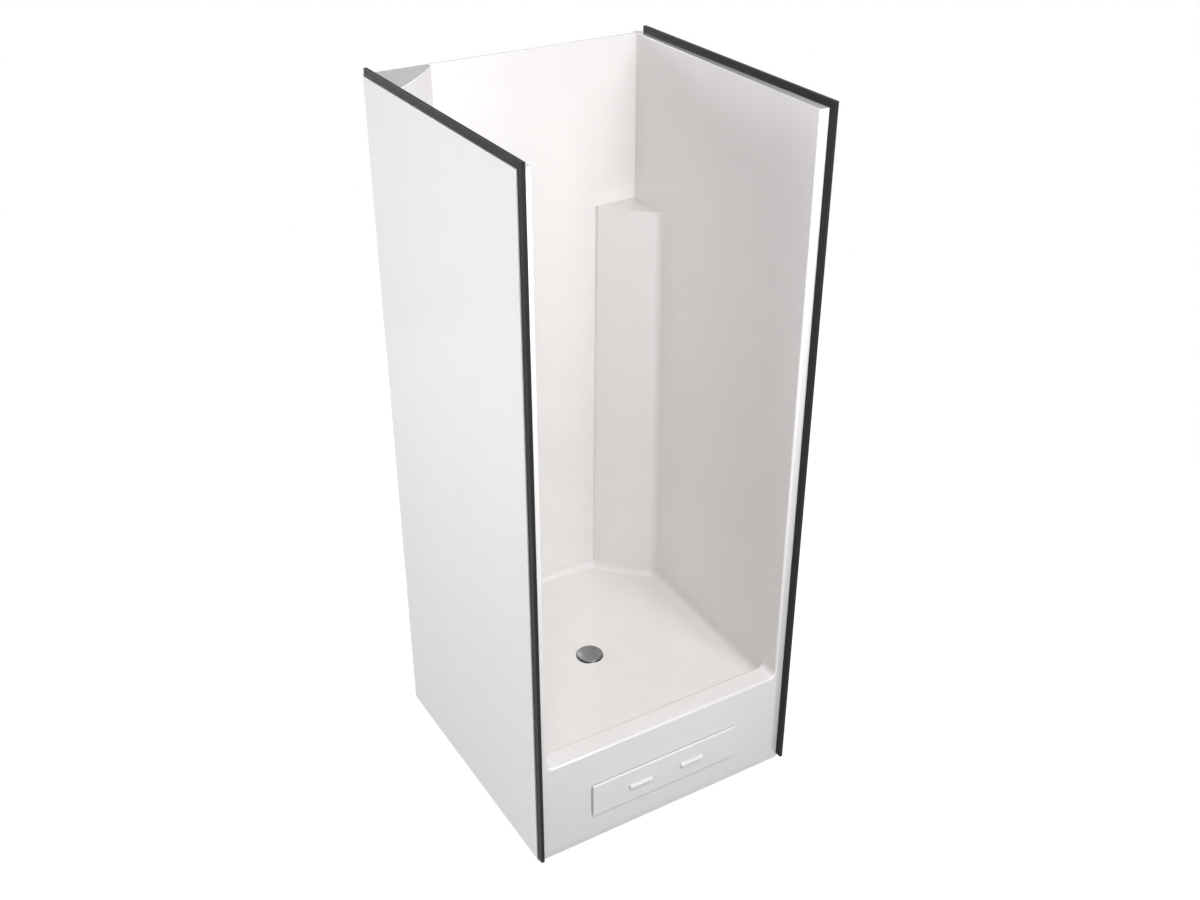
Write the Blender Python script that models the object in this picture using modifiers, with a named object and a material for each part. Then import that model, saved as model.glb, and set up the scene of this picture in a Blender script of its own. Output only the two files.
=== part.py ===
"""Three-sided shower cabin: a raised base with a high threshold, moulded walls, two corner towers,
dark edge bars, a lift-off access panel in the apron and the waste fitting and frame behind it."""

import math

import bmesh
import bpy
from mathutils import Matrix, Vector

# Overall sizes of the cabin
CABIN_WIDTH = 0.900
CABIN_DEPTH = 0.900
SHELL_HEIGHT = 2.172
OUTER_RADIUS = 0.045
APRON_FOOT_DEPTH = 0.025
SEAT_GAP = 0.0003
OVERRUN = 0.010

# Dark bars along the top and front edges of the side walls
BAR_THICKNESS = 0.0105
BAR_REACH = 0.023
BAR_RISE = 0.021
BAR_INSET = 0.0036
BAR_WALL = 0.0016
BAR_FOOT_HEIGHT = 0.038
BAR_BACK_SETBACK = 0.037
BAR_EDGE = 0.0012
TONGUE_THICKNESS = 0.0036
TONGUE_DEPTH = 0.0050
TONGUE_CLEARANCE = 0.0004
END_CAP_THICKNESS = 0.0020
END_CAP_PLUG = 0.0120
CORNER_KEY_ARM = 0.0450
KEY_CLEARANCE = 0.0004

# Base, with its floor, threshold and apron
BASE_HEIGHT = 0.430
THRESHOLD_HEIGHT = 0.365
THRESHOLD_WIDTH = 0.074
FLOOR_HEIGHT = 0.319
FLOOR_SKIN = 0.014
BASE_SKIN = 0.008
FOOT_FLANGE = 0.052
FRONT_EDGE_RADIUS = 0.007
INNER_EDGE_RADIUS = 0.014
OPENING_CORNER_RADIUS = 0.022
COVE_RADIUS = 0.028
INNER_WALL_DRAFT = 0.0010
DISH_MARGIN = 0.130
DISH_DEPTH = 0.006

# Walls
JAMB_WIDTH = 0.042
SIDE_WALL_BACK_THICKNESS = 0.028
BACK_WALL_THICKNESS = 0.023
LINER_SKIN = 0.007
JAMB_SKIN = 0.010
OUTER_PANEL_THICKNESS = 0.004
BACK_LIP_THICKNESS = 0.006
BACK_LIP_HEIGHT = 0.022
WALL_FLANGE = 0.012
PANEL_RETURN = 0.012

# Seal between the base rim and the walls
SEAL_SETBACK = 0.010
SEAL_WIDTH = 0.008
SEAL_THICKNESS = 0.003

# Corner towers, measured along the two walls at their tops
RIGHT_TOWER_ALONG_BACK = 0.142
RIGHT_TOWER_ALONG_SIDE = 0.1535
LEFT_TOWER_ALONG_BACK = 0.172
LEFT_TOWER_ALONG_SIDE = 0.176
TOWER_DRAFT_SHARE = 0.009
TOWER_STEP = 0.013
TOWER_NOSE = 0.005
TOWER_EDGE_RADIUS = 0.011
TOWER_BOW = 0.007
TOWER_SKIN = 0.006
TOWER_FLANGE = 0.030
TOWER_COVE = 0.024
SHELF_HEIGHT = 1.662
SHELF_EDGE_RADIUS = 0.009
TOWER_CAP_THICKNESS = 0.003
CAP_PLUG_DEPTH = 0.008

# Waste fitting in the floor
COVER_DIAMETER = 0.084
COVER_THICKNESS = 0.0022
COVER_DOME = 0.0055
COVER_LIFT = 0.0030
COVER_EDGE = 0.0008
COVER_STEM_DIAMETER = 0.0070
FLANGE_DIAMETER = 0.088
FLANGE_THICKNESS = 0.0025
FLANGE_CHAMFER = 0.0008
NECK_DIAMETER = 0.060
NECK_BORE = 0.052
NECK_LENGTH = 0.046
COLLAR_SEAT_WIDTH = 0.002
COLLAR_THICKNESS = 0.002
WASHER_DIAMETER = 0.082
WASHER_THICKNESS = 0.003
BACKNUT_DIAMETER = 0.080
BACKNUT_THICKNESS = 0.012
BACKNUT_LUGS = 6
BACKNUT_LUG_DEPTH = 0.004
THREAD_CLEARANCE = 0.0004
TRAP_DIAMETER = 0.096
TRAP_DEPTH = 0.125
TRAP_WALL = 0.003
TRAP_COLLAR_HEIGHT = 0.022
TRAP_COLLAR_WALL = 0.006
TRAP_BEND_RADIUS = 0.011
DIP_TUBE_DIAMETER = 0.044
DIP_TUBE_WALL = 0.002
DIP_TUBE_LENGTH = 0.130
HUB_DIAMETER = 0.014
HUB_HEIGHT = 0.008
SPOKE_COUNT = 3
SPOKE_THICKNESS = 0.0025
SPOKE_DROP = 0.002
OUTLET_DIAMETER = 0.040
OUTLET_REACH = 0.078
OUTLET_DROP = 0.030
OUTLET_NUT_DIAMETER = 0.056
OUTLET_NUT_LENGTH = 0.028
OUTLET_RIBS = 12
OUTLET_RIB_DEPTH = 0.0015
OUTLET_SEAL_THICKNESS = 0.004

# Support frame under the floor
DECK_THICKNESS = 0.012
DECK_MARGIN = 0.070
DECK_HOLE_DIAMETER = 0.130
RAIL_SIZE = 0.030
RAIL_FROM_SIDE = 0.190
RAIL_FROM_END = 0.100
CROSS_FROM_RAIL_END = 0.140
TUBE_WALL = 0.002
TUBE_EDGE_RADIUS = 0.003
LEG_FOOT_HEIGHT = 0.060
LEG_PLATE_THICKNESS = 0.003
STUD_DIAMETER = 0.012
STUD_LENGTH = 0.092
STUD_CHAMFER = 0.001
PAD_DIAMETER = 0.050
PAD_HEIGHT = 0.016
PAD_EDGE_HEIGHT = 0.007
PAD_NECK_WALL = 0.004
LOCKNUT_ACROSS_FLATS = 0.019
LOCKNUT_THICKNESS = 0.010

# Access opening, panel and what holds the panel
PANEL_WIDTH = 0.518
PANEL_HEIGHT = 0.118
PANEL_CENTRE_HEIGHT = 0.177
PANEL_THICKNESS = 0.006
PANEL_CORNER_RADIUS = 0.006
PANEL_EDGE_RADIUS = 0.002
PANEL_GASKET = 0.002
GASKET_MARGIN = 0.004
ACCESS_MARGIN = 0.018
ACCESS_CORNER_RADIUS = 0.012
SPIGOT_DEPTH = 0.0095
SPIGOT_WALL = 0.003
SPIGOT_CLEARANCE = 0.0015
GRIP_LENGTH = 0.078
GRIP_HEIGHT = 0.010
GRIP_DEPTH = 0.009
GRIP_SPACING = 0.184
GRIP_WALL = 0.0025
GRIP_GROOVE_DEPTH = 0.004
GRIP_EDGE_RADIUS = 0.002
GRIP_SCREW_SPACING = 0.050
GRIP_SCREW_RISE = 0.002
GRIP_SCREW_DIAMETER = 0.003
GRIP_SCREW_HEAD = 0.006
GRIP_SCREW_HEAD_HEIGHT = 0.0024
GRIP_SCREW_BITE = 0.005
FRAME_BORDER = 0.022
FRAME_THICKNESS = 0.006
TAB_MARGIN = 0.002
MAGNET_LENGTH = 0.030
MAGNET_WIDTH = 0.012
MAGNET_THICKNESS = 0.005
MAGNET_FROM_SIDE = 0.016
STRIKE_THICKNESS = 0.0015

# Roundness
ARC_STEPS = 6
LOFT_ARC_STEPS = 6
TURN_STEPS = 32
SMALL_TURN_STEPS = 16
NUT_SIDES = 6
BAR_EDGE_STEPS = 2
SHELF_EDGE_STEPS = 4
TRAP_BEND_STEPS = 3
COVER_STEPS = 5
TUBE_EDGE_STEPS = 2
PANEL_EDGE_STEPS = 2
PANEL_CORNER_STEPS = 4
GRIP_EDGE_STEPS = 3
SMOOTH_ANGLE = math.radians(35)
MERGE = 0.00001

# Places that follow from the sizes above
HALF_WIDTH = CABIN_WIDTH / 2
FRONT = BAR_REACH - (CABIN_DEPTH + BAR_REACH) / 2
BACK = FRONT + CABIN_DEPTH
INNER_BACK = BACK - BACK_WALL_THICKNESS
BAR_X = HALF_WIDTH - BAR_INSET - BAR_THICKNESS / 2
BAR_BACK = BACK - BAR_BACK_SETBACK
PANEL_SEAT = OUTER_PANEL_THICKNESS + SEAT_GAP
WALL_FOOT = BASE_HEIGHT + SEAT_GAP
DRAIN_Y = (FRONT + BACK) / 2
DISH_RADIUS = min(CABIN_WIDTH, CABIN_DEPTH) / 2 - DISH_MARGIN
DRAIN_FLOOR = FLOOR_HEIGHT - DISH_DEPTH
FLOOR_UNDERSIDE = FLOOR_HEIGHT - FLOOR_SKIN
BACKNUT_TOP = FLOOR_UNDERSIDE - SEAT_GAP - WASHER_THICKNESS - SEAT_GAP
TRAP_TOP = BACKNUT_TOP - BACKNUT_THICKNESS - SEAT_GAP
OUTLET_HEIGHT = TRAP_TOP - TRAP_COLLAR_HEIGHT - OUTLET_DROP
OUTLET_END = DRAIN_Y + OUTLET_REACH
DECK_TOP = FLOOR_UNDERSIDE - SEAT_GAP
FRAME_TOP = DECK_TOP - DECK_THICKNESS - SEAT_GAP
RAIL_SPACING = CABIN_WIDTH - 2 * RAIL_FROM_SIDE
RAIL_LENGTH = CABIN_DEPTH - 2 * RAIL_FROM_END
CROSS_SPACING = RAIL_LENGTH - 2 * CROSS_FROM_RAIL_END
ACCESS_WIDTH = PANEL_WIDTH - 2 * ACCESS_MARGIN
ACCESS_HEIGHT = PANEL_HEIGHT - 2 * ACCESS_MARGIN
PANEL_BACK = FRONT - PANEL_GASKET - 2 * SEAT_GAP
FRAME_FRONT = FRONT + BASE_SKIN + SEAT_GAP
STRIKE_FRONT = FRAME_FRONT - SEAT_GAP - STRIKE_THICKNESS
MAGNET_FRONT = STRIKE_FRONT - SEAT_GAP - MAGNET_THICKNESS
MAGNET_X = ACCESS_WIDTH / 2 - MAGNET_FROM_SIDE

SIDE_WORDS = {-1: "left", 1: "right"}
TOWERS = {
    -1: (LEFT_TOWER_ALONG_BACK, LEFT_TOWER_ALONG_SIDE, SHELL_HEIGHT),
    1: (RIGHT_TOWER_ALONG_BACK, RIGHT_TOWER_ALONG_SIDE, SHELF_HEIGHT),
}

# Points round one lug: share of the lug's pitch and share of its depth
LUG_SHARES = ((0.00, 0), (0.25, 0), (0.50, 0), (0.60, 1), (0.90, 1))

PARTS = "shower_cabin"
CUTTERS = "shower_cabin_cutters"

# Finishes as colour, roughness and metallic value
FINISHES = {
    "white_gelcoat": ((0.86, 0.86, 0.86), 0.18, 0.0),
    "charcoal_bar": ((0.035, 0.035, 0.037), 0.45, 0.3),
    "grey_cap": ((0.56, 0.56, 0.56), 0.55, 0.0),
    "foam_core": ((0.78, 0.70, 0.48), 0.90, 0.0),
    "plywood": ((0.55, 0.38, 0.22), 0.75, 0.0),
    "painted_steel": ((0.30, 0.31, 0.33), 0.50, 0.4),
    "zinc_steel": ((0.62, 0.62, 0.60), 0.35, 0.9),
    "satin_metal": ((0.24, 0.24, 0.24), 0.32, 0.7),
    "grey_plastic": ((0.32, 0.33, 0.34), 0.50, 0.0),
    "black_rubber": ((0.02, 0.02, 0.02), 0.80, 0.0),
    "magnet": ((0.10, 0.10, 0.11), 0.60, 0.2),
}


def clear_scene():
    """Remove every object that the file starts with."""
    for obj in list(bpy.data.objects):
        bpy.data.objects.remove(obj, do_unlink=True)


def collection(name):
    """Return the named collection, linked to the scene."""
    found = bpy.data.collections.get(name)
    if found is None:
        found = bpy.data.collections.new(name)
        bpy.context.scene.collection.children.link(found)
    return found


def finish(name):
    """Return the material of one finish."""
    found = bpy.data.materials.get(name)
    if found is not None:
        return found
    colour, roughness, metallic = FINISHES[name]
    material = bpy.data.materials.new(name)
    material.use_nodes = True
    shader = material.node_tree.nodes["Principled BSDF"]
    shader.inputs["Base Color"].default_value = (*colour, 1.0)
    shader.inputs["Roughness"].default_value = roughness
    shader.inputs["Metallic"].default_value = metallic
    return material


def place(obj, finish_name=None):
    """Put an object among the parts with its finish, or among the cutters."""
    for holder in list(obj.users_collection):
        holder.objects.unlink(obj)
    if finish_name is None:
        collection(CUTTERS).objects.link(obj)
        obj.hide_render = True
        obj.display_type = "WIRE"
        return obj
    collection(PARTS).objects.link(obj)
    obj.data.materials.clear()
    obj.data.materials.append(finish(finish_name))
    obj.data.shade_smooth()
    obj.data.set_sharp_from_angle(angle=SMOOTH_ANGLE)
    return obj


def from_bmesh(name, bm, finish_name=None):
    """Turn a bmesh into a placed object whose faces point outwards."""
    bmesh.ops.recalc_face_normals(bm, faces=bm.faces)
    mesh = bpy.data.meshes.new(name)
    bm.to_mesh(mesh)
    bm.free()
    return place(bpy.data.objects.new(name, mesh), finish_name)


def evaluated_mesh(obj):
    """Return a new mesh of an object as its modifiers and place leave it."""
    graph = bpy.context.evaluated_depsgraph_get()
    graph.update()
    mesh = bpy.data.meshes.new_from_object(obj.evaluated_get(graph))
    mesh.transform(obj.matrix_world)
    return mesh


def box(name, low, high, finish_name=None):
    """Make a box between two corners."""
    bm = bmesh.new()
    bmesh.ops.create_cube(bm, size=1.0)
    low = Vector(low)
    high = Vector(high)
    size = high - low
    bmesh.ops.scale(bm, vec=size, verts=bm.verts)
    bmesh.ops.translate(bm, vec=(low + high) / 2, verts=bm.verts)
    return from_bmesh(name, bm, finish_name)


def cylinder(name, centre, radius, length, axis="Z", steps=TURN_STEPS, finish_name=None):
    """Make a cylinder of a given length centred on a point."""
    bm = bmesh.new()
    bmesh.ops.create_cone(
        bm, cap_ends=True, segments=steps, radius1=radius, radius2=radius, depth=length
    )
    turns = {
        "X": Matrix.Rotation(math.pi / 2, 3, "Y"),
        "Y": Matrix.Rotation(-math.pi / 2, 3, "X"),
        "Z": Matrix.Identity(3),
    }
    bmesh.ops.rotate(bm, verts=bm.verts, matrix=turns[axis])
    bmesh.ops.translate(bm, verts=bm.verts, vec=Vector(centre))
    return from_bmesh(name, bm, finish_name)


def round_edges(obj, chosen, radius, segments=ARC_STEPS):
    """Round the edges of a mesh object that a test on their two ends picks."""
    bm = bmesh.new()
    bm.from_mesh(obj.data)
    edges = [edge for edge in bm.edges if chosen(edge.verts[0].co, edge.verts[1].co)]
    bmesh.ops.bevel(
        bm,
        geom=edges,
        offset=radius,
        segments=segments,
        profile=0.5,
        affect="EDGES",
        clamp_overlap=True,
    )
    bm.to_mesh(obj.data)
    bm.free()
    obj.data.shade_smooth()
    obj.data.set_sharp_from_angle(angle=SMOOTH_ANGLE)
    return obj


def arc(centre, radius, start, end, steps=ARC_STEPS):
    """Points on an arc, with both ends, angles in degrees."""
    points = []
    for step in range(steps + 1):
        angle = math.radians(start + (end - start) * step / steps)
        point = (centre[0] + radius * math.cos(angle), centre[1] + radius * math.sin(angle))
        points.append(point)
    return points


def rounded(corners, radii, steps=ARC_STEPS):
    """Round the corners of a closed outline, one radius for each corner."""
    points = []
    count = len(corners)
    for index in range(count):
        here = Vector(corners[index])
        before = Vector(corners[index - 1])
        after = Vector(corners[(index + 1) % count])
        radius = radii[index]
        if radius <= 0:
            points.append(tuple(here))
            continue
        back_way = (before - here).normalized()
        on_way = (after - here).normalized()
        half = back_way.angle(on_way) / 2
        reach = radius / math.tan(half)
        centre = here + (back_way + on_way).normalized() * (radius / math.sin(half))
        start = here + back_way * reach - centre
        end = here + on_way * reach - centre
        turn = start.angle_signed(end)
        first = math.atan2(start.y, start.x)
        for step in range(steps + 1):
            angle = first - turn * step / steps
            spot = centre + Vector((math.cos(angle), math.sin(angle))) * radius
            points.append(tuple(spot))
    return points


def rectangle(width, height, centre=(0, 0)):
    """Corners of an upright rectangle, anticlockwise."""
    x0 = centre[0] - width / 2
    x1 = centre[0] + width / 2
    y0 = centre[1] - height / 2
    y1 = centre[1] + height / 2
    return [(x0, y0), (x1, y0), (x1, y1), (x0, y1)]


STANDING = Matrix.Identity(4)
FACING_FRONT = Matrix(((1, 0, 0, 0), (0, 0, -1, 0), (0, 1, 0, 0), (0, 0, 0, 1)))
FACING_SIDE = Matrix(((0, 0, 1, 0), (1, 0, 0, 0), (0, 1, 0, 0), (0, 0, 0, 1)))
TURNED_BACK = Matrix(((1, 0, 0, 0), (0, 0, 1, 0), (0, -1, 0, 0), (0, 0, 0, 1)))


def plate(name, outlines, start, end, turn=STANDING, finish_name=None):
    """Extrude closed flat outlines between two distances along the turned outline's normal."""
    curve = bpy.data.curves.new(name, "CURVE")
    curve.dimensions = "2D"
    curve.fill_mode = "BOTH"
    curve.extrude = abs(end - start) / 2
    for outline in outlines:
        spline = curve.splines.new("POLY")
        spline.points.add(len(outline) - 1)
        for point, spot in zip(spline.points, outline):
            point.co = (spot[0], spot[1], 0, 1)
        spline.use_cyclic_u = True
    holder = bpy.data.objects.new(name + "_outline", curve)
    bpy.context.scene.collection.objects.link(holder)
    bpy.context.view_layer.update()
    mesh = evaluated_mesh(holder)
    bpy.data.objects.remove(holder, do_unlink=True)
    bm = bmesh.new()
    bm.from_mesh(mesh)
    bpy.data.meshes.remove(mesh)
    for vert in bm.verts:
        vert.co.z = end if vert.co.z > 0 else start
    bm.transform(turn)
    bmesh.ops.remove_doubles(bm, verts=bm.verts, dist=MERGE)
    return from_bmesh(name, bm, finish_name)


def turned(name, profile, centre, finish_name=None, steps=TURN_STEPS, turn=STANDING):
    """Turn a profile of (radius, height) points, outer side first, from the top down."""
    bm = bmesh.new()
    verts = [bm.verts.new((radius, 0, height)) for radius, height in profile]
    for first, second in zip(verts, verts[1:] + verts[:1]):
        if max(first.co.x, second.co.x) > MERGE:
            bm.edges.new((first, second))
    mesh = bpy.data.meshes.new(name)
    bm.to_mesh(mesh)
    bm.free()
    obj = bpy.data.objects.new(name, mesh)
    screw = obj.modifiers.new("Turn", "SCREW")
    screw.steps = steps
    screw.render_steps = steps
    screw.use_merge_vertices = True
    screw.merge_threshold = MERGE
    bpy.context.scene.collection.objects.link(obj)
    obj.matrix_world = Matrix.Translation(Vector(centre)) @ turn
    bpy.context.view_layer.update()
    whole = evaluated_mesh(obj)
    bpy.data.objects.remove(obj, do_unlink=True)
    bm = bmesh.new()
    bm.from_mesh(whole)
    bpy.data.meshes.remove(whole)
    bmesh.ops.remove_doubles(bm, verts=bm.verts, dist=MERGE)
    return from_bmesh(name, bm, finish_name)


def loft(name, sections, finish_name=None):
    """Skin closed sections of equal point counts and cap both ends."""
    bm = bmesh.new()
    rings = [[bm.verts.new(point) for point in section] for section in sections]
    for lower, upper in zip(rings, rings[1:]):
        for index in range(len(lower)):
            following = (index + 1) % len(lower)
            bm.faces.new((lower[index], lower[following], upper[following], upper[index]))
    bm.faces.new(list(reversed(rings[0])))
    bm.faces.new(rings[-1])
    return from_bmesh(name, bm, finish_name)


def combine(target, tool, operation):
    """Add a Boolean modifier that uses another object."""
    modifier = target.modifiers.new(operation.title() + "_" + tool.name, "BOOLEAN")
    modifier.operation = operation
    modifier.object = tool
    modifier.solver = "EXACT"
    return target


def cut(target, *cutters):
    """Cut each cutter out of a part."""
    for cutter in cutters:
        combine(target, cutter, "DIFFERENCE")
    return target


def join(target, *additions):
    """Grow a part by each addition, which stays among the cutters."""
    for addition in additions:
        combine(target, addition, "UNION")
    return target


def inner_half_width(y):
    """Distance from the middle to the inner face of a side wall, which leans in to the front."""
    front = HALF_WIDTH - JAMB_WIDTH
    back = HALF_WIDTH - SIDE_WALL_BACK_THICKNESS
    share = (y - FRONT) / (INNER_BACK - FRONT)
    return front + (back - front) * share


def tower_reach(along, top, height):
    """Reach of a tower along a wall at one height, which grows downwards by its draft."""
    return along + TOWER_DRAFT_SHARE * (top - height)


def tower_outline(side, along_back, along_side, clearance, nose=TOWER_NOSE):
    """Plan of a corner tower: a rounded step off the back wall, then a bowed slanting face."""
    y_back = INNER_BACK - clearance
    y_front = INNER_BACK - along_side
    x_corner = inner_half_width(INNER_BACK) - clearance
    x_left = inner_half_width(INNER_BACK) - along_back
    first = Vector((x_left, INNER_BACK - TOWER_STEP))
    along = Vector((inner_half_width(y_front), y_front)) - first
    reach = 1 - nose / along.x
    outward = Vector((along.y, -along.x)).normalized()
    if outward.x > 0:
        outward = -outward
    face = []
    for step in range(1, 2 * ARC_STEPS + 1):
        share = reach * step / (2 * ARC_STEPS)
        bow = 4 * TOWER_BOW * share * (1 - share)
        face.append(tuple(first + along * share + outward * bow))
    end_y = face[-1][1]
    x_front = inner_half_width(end_y) - clearance
    corners = [(x_corner, y_back), (x_left, y_back), tuple(first)] + face + [(x_front, end_y)]
    radii = [0, 0, TOWER_EDGE_RADIUS] + [0] * len(face) + [0]
    return [(side * x, y) for x, y in rounded(corners, radii)]


def grown(outline, distance):
    """Move a closed outline outwards by one distance."""
    area = 0
    for first, second in zip(outline, outline[1:] + outline[:1]):
        area += first[0] * second[1] - second[0] * first[1]
    sign = 1 if area > 0 else -1
    result = []
    count = len(outline)
    for index in range(count):
        here = Vector(outline[index])
        before = Vector(outline[index - 1])
        after = Vector(outline[(index + 1) % count])
        first = (here - before).normalized()
        second = (after - here).normalized()
        normal_a = Vector((first.y, -first.x)) * sign
        normal_b = Vector((second.y, -second.x)) * sign
        middle = (normal_a + normal_b).normalized()
        result.append(tuple(here + middle * (distance / middle.dot(normal_a))))
    return result


def opening_section(y, half_width, bottom, corner_radius, top):
    """Upright section of the cabin's inside at one depth: walls, rounded corners and floor."""
    points = [(-half_width, y, top)]
    left = (-half_width + corner_radius, bottom + corner_radius)
    right = (half_width - corner_radius, bottom + corner_radius)
    for x, z in arc(left, corner_radius, 180, 270, LOFT_ARC_STEPS):
        points.append((x, y, z))
    for x, z in arc(right, corner_radius, 270, 360, LOFT_ARC_STEPS):
        points.append((x, y, z))
    points.append((half_width, y, top))
    return points


def inside_stations():
    """Depth, widening, floor height and corner radius along the inside, from front to back."""
    stations = []
    first = FRONT - OVERRUN
    widest = FRONT_EDGE_RADIUS
    stations.append((first, widest, THRESHOLD_HEIGHT - widest, OPENING_CORNER_RADIUS + widest))
    for step in range(LOFT_ARC_STEPS + 1):
        angle = math.pi / 2 * step / LOFT_ARC_STEPS
        flare = FRONT_EDGE_RADIUS * (1 - math.sin(angle))
        y = FRONT + FRONT_EDGE_RADIUS * (1 - math.cos(angle))
        stations.append((y, flare, THRESHOLD_HEIGHT - flare, OPENING_CORNER_RADIUS + flare))
    for step in range(LOFT_ARC_STEPS + 1):
        angle = math.pi / 2 * step / LOFT_ARC_STEPS
        y = FRONT + THRESHOLD_WIDTH - INNER_EDGE_RADIUS * (1 - math.sin(angle))
        drop = INNER_EDGE_RADIUS * (1 - math.cos(angle))
        stations.append((y, 0, THRESHOLD_HEIGHT - drop, OPENING_CORNER_RADIUS))
    foot = FRONT + THRESHOLD_WIDTH + INNER_WALL_DRAFT
    for step in range(LOFT_ARC_STEPS + 1):
        angle = math.pi / 2 * step / LOFT_ARC_STEPS
        y = foot + COVE_RADIUS * (1 - math.cos(angle))
        rise = COVE_RADIUS * (1 - math.sin(angle))
        radius = COVE_RADIUS + (OPENING_CORNER_RADIUS - COVE_RADIUS) * rise / COVE_RADIUS
        stations.append((y, 0, FLOOR_HEIGHT + rise, radius))
    for step in range(LOFT_ARC_STEPS + 1):
        angle = math.pi / 2 * step / LOFT_ARC_STEPS
        y = INNER_BACK - COVE_RADIUS * (1 - math.sin(angle))
        rise = COVE_RADIUS * (1 - math.cos(angle))
        stations.append((y, 0, FLOOR_HEIGHT + rise, COVE_RADIUS))
    return stations


def inside_cutter():
    """The room inside the base: over the threshold, down to the floor and up the back."""
    top = BASE_HEIGHT + OVERRUN
    sections = []
    for y, flare, bottom, radius in inside_stations():
        half_width = inner_half_width(max(y, FRONT)) + flare
        sections.append(opening_section(y, half_width, bottom, radius, top))
    return loft("inside_cutter", sections)

def shaft(name, side, along_back, along_side, top, skin, low, high):
    """Room inside a corner tower or its foot, one skin in from its face at every height."""
    sections = []
    for height in (low, high):
        back = tower_reach(along_back, top, height)
        along = tower_reach(along_side, top, height)
        ring = grown(tower_outline(side, back, along, SEAT_GAP, 2 * skin), -skin)
        sections.append([(x, y, height) for x, y in ring])
    return loft(name, sections)


def tower_foot(name, side, along_back, along_side, top):
    """Solid foot of a corner tower on the floor, spreading into it by a cove."""
    reach = -BACK_WALL_THICKNESS / 2
    edge_x = inner_half_width(INNER_BACK) - reach
    edge_y = INNER_BACK - reach

    def section(spread, height):
        back = tower_reach(along_back, top, height)
        along = tower_reach(along_side, top, height)
        ring = tower_outline(side, back, along, reach)
        if spread > MERGE:
            ring = grown(ring, spread)
        return [(side * min(side * x, edge_x), min(y, edge_y), height) for x, y in ring]

    sections = [section(TOWER_COVE, FLOOR_HEIGHT - FLOOR_SKIN / 2)]
    for step in range(LOFT_ARC_STEPS + 1):
        angle = math.pi / 2 * step / LOFT_ARC_STEPS
        spread = TOWER_COVE * (1 - math.sin(angle))
        rise = TOWER_COVE * (1 - math.cos(angle))
        sections.append(section(spread, FLOOR_HEIGHT - SEAT_GAP + rise))
    sections.append(section(0, BASE_HEIGHT))
    return loft(name, sections)


def draw_forward(obj, face_y, old_depth, new_depth):
    """Pull the rounded edge behind a front face forward, so that it turns in less depth."""
    for vert in obj.data.vertices:
        behind = vert.co.y - face_y
        if behind < old_depth + MERGE:
            vert.co.y = face_y + behind * new_depth / old_depth
    return obj


def base_block():
    """Outer form of the base, rounded along the bottom and up the back corners."""
    low = (-HALF_WIDTH, FRONT, 0)
    high = (HALF_WIDTH, BACK, BASE_HEIGHT)
    block = box("base", low, high, "white_gelcoat")

    def outer_edge(first, second):
        along_bottom = max(first.z, second.z) < MERGE
        up_the_back = min(first.y, second.y) > BACK - MERGE and abs(first.x - second.x) < MERGE
        return along_bottom or up_the_back

    round_edges(block, outer_edge, OUTER_RADIUS, ARC_STEPS)
    return draw_forward(block, FRONT, OUTER_RADIUS, APRON_FOOT_DEPTH)


def base_hollow():
    """Room under the floor, inside the apron, sides and turned-in foot flange."""
    low = (-HALF_WIDTH + BASE_SKIN, FRONT + BASE_SKIN, BASE_SKIN)
    high = (HALF_WIDTH - BASE_SKIN, BACK - BASE_SKIN, FLOOR_UNDERSIDE)
    hollow = box("base_hollow_cutter", low, high)

    def outer_edge(first, second):
        along_bottom = max(first.z, second.z) < BASE_SKIN + MERGE
        at_back = min(first.y, second.y) > BACK - BASE_SKIN - MERGE
        return along_bottom or (at_back and abs(first.x - second.x) < MERGE)

    round_edges(hollow, outer_edge, OUTER_RADIUS - BASE_SKIN, ARC_STEPS)
    depth = APRON_FOOT_DEPTH - BASE_SKIN
    return draw_forward(hollow, FRONT + BASE_SKIN, OUTER_RADIUS - BASE_SKIN, depth)


def floor_dish():
    """Shallow fall of the floor towards the waste."""
    profile = [
        (DISH_RADIUS, OVERRUN),
        (DISH_RADIUS, 0),
        (FLANGE_DIAMETER / 2, -DISH_DEPTH),
        (0, -DISH_DEPTH),
        (0, OVERRUN),
    ]
    return turned("floor_dish_cutter", profile, (0, DRAIN_Y, FLOOR_HEIGHT))


def drain_cutters():
    """Recess and bore in the floor for the waste fitting."""
    recess_floor = DRAIN_FLOOR - FLANGE_THICKNESS - SEAT_GAP
    recess = cylinder(
        "drain_recess_cutter",
        (0, DRAIN_Y, recess_floor + OVERRUN / 2),
        FLANGE_DIAMETER / 2 + SEAT_GAP,
        OVERRUN,
    )
    bore = cylinder(
        "drain_bore_cutter",
        (0, DRAIN_Y, FLOOR_UNDERSIDE),
        NECK_DIAMETER / 2 + THREAD_CLEARANCE,
        2 * FLOOR_SKIN + 2 * OVERRUN,
    )
    return recess, bore


def access_outline(width, height, radius):
    """Rounded upright outline centred on the access panel."""
    corners = rectangle(width, height, (0, PANEL_CENTRE_HEIGHT))
    return rounded(corners, [radius] * 4, PANEL_CORNER_STEPS)


def access_cutter():
    """The access hole through the apron."""
    outline = access_outline(ACCESS_WIDTH, ACCESS_HEIGHT, ACCESS_CORNER_RADIUS)
    start = -(FRONT + BASE_SKIN + OVERRUN)
    return plate("access_cutter", [outline], start, -(FRONT - OVERRUN), FACING_FRONT)


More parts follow.
